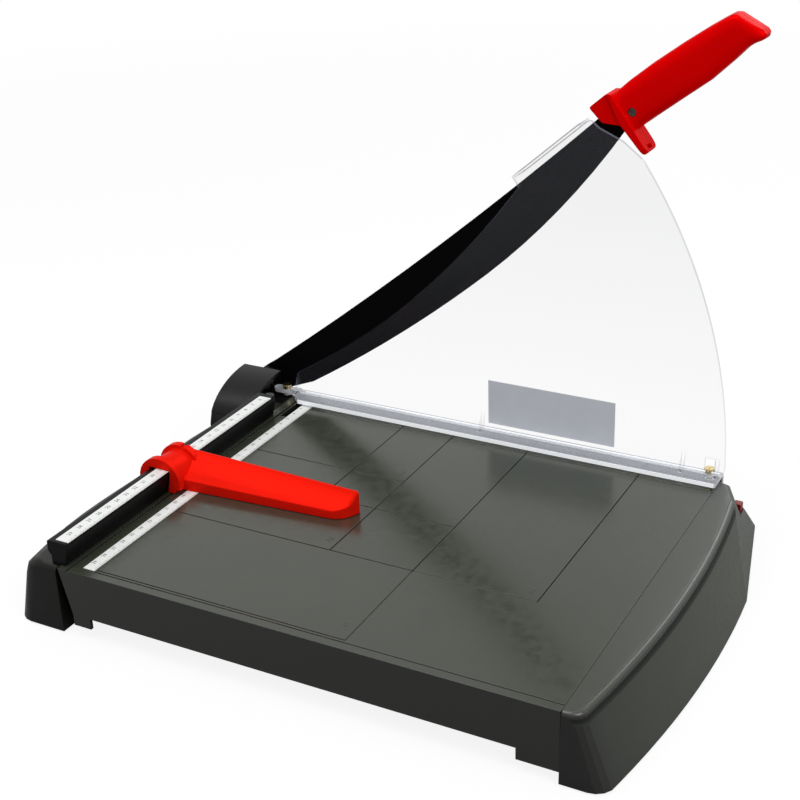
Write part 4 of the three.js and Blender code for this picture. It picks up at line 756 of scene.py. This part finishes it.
# Stage, in metres
FLOOR_HALF = 6.0
FLOOR_FADE = (0.9, 2.2)              # the floor turns to plain white between these distances
NEAR_WHITE = 0.88                    # share of plain white close to the object
FLOOR_PALE, FLOOR_GREY = 0.98, 0.45  # floor as the camera sees it, and as it lights the object
SURROUND_LIGHT, SURROUND_SEEN = 0.36, 1.0
LAMPS = (                            # name, place, target, watts and side
    ("key", (-0.35, 0.5, 1.9), (0, 0, 0.05), 24.0, 1.5),
    ("front", (-0.8, -1.7, 1.3), (0, 0, 0.1), 18.0, 1.2),
    ("side", (1.6, -0.3, 1.2), (0, 0, 0.1), 6.0, 1.0),
)


def emptied(owner):
    """The node tree of a new material or world, without its first nodes."""
    owner.use_nodes = True
    owner.node_tree.nodes.clear()
    return Nodes(owner.node_tree)


def make_floor():
    h = FLOOR_HALF
    mesh = new_mesh("floor", [(-h, -h, 0), (h, -h, 0), (h, h, 0), (-h, h, 0)], [(0, 1, 2, 3)])
    material = bpy.data.materials.new("floor")
    floor = new_piece("floor", mesh, material)
    n = emptied(material)
    path = n.node("ShaderNodeLightPath").outputs
    seen = n.combined("MAXIMUM", path["Is Camera Ray"], path["Is Transmission Ray"])
    pale = n.node("ShaderNodeBsdfDiffuse", Color=grey(FLOOR_PALE)).outputs["BSDF"]
    dark = n.node("ShaderNodeBsdfDiffuse", Color=grey(FLOOR_GREY)).outputs["BSDF"]
    white = n.node("ShaderNodeEmission", Color=grey(1)).outputs["Emission"]
    distance = n.node("ShaderNodeVectorMath", operation="LENGTH")
    n.link(n.node("ShaderNodeNewGeometry").outputs["Position"], distance.inputs[0])
    shown = n.mixed(n.ranged(distance.outputs["Value"], FLOOR_FADE, (NEAR_WHITE, 1.0)), pale, white)
    n.link(n.mixed(seen, dark, shown), n.node("ShaderNodeOutputMaterial").inputs["Surface"])


def make_world():
    """Plain white where it is seen or mirrored, and softer as a light."""
    world = bpy.data.worlds.new("world")
    bpy.context.scene.world = world
    n = emptied(world)
    path = n.node("ShaderNodeLightPath").outputs
    direct = n.combined("MAXIMUM", path["Is Camera Ray"], path["Is Glossy Ray"])
    seen = n.combined("MAXIMUM", direct, path["Is Transmission Ray"])
    light, white = (n.node("ShaderNodeBackground", Color=grey(1), Strength=strength).outputs["Background"]
                    for strength in (SURROUND_LIGHT, SURROUND_SEEN))
    n.link(n.mixed(seen, light, white), n.node("ShaderNodeOutputWorld").inputs["Surface"])


def make_lights():
    for name, place, target, power, side in LAMPS:
        data = bpy.data.lights.new(name, "AREA")
        data.shape = "SQUARE"
        data.size = side
        data.energy = power
        lamp = bpy.data.objects.new(name, data)
        bpy.context.scene.collection.objects.link(lamp)
        lamp.location = place
        lamp.rotation_mode = "QUATERNION"
        lamp.rotation_quaternion = (Vector(target) - Vector(place)).to_track_quat("-Z", "Y")


def main():
    bpy.context.scene.view_settings.view_transform = "Standard"
    make_camera()
    make_world()
    make_floor()
    make_lights()
    finishes = {**plastics(), **metals(), **prints()}
    rear_end(finishes)
    dress_nodes(finishes)
    line_shades(finishes)
    sheet_marks(finishes)
    front_ridge(finishes)
    foot_edges(finishes)
    scale_marks(finishes)
    rail_marks(finishes)


main()
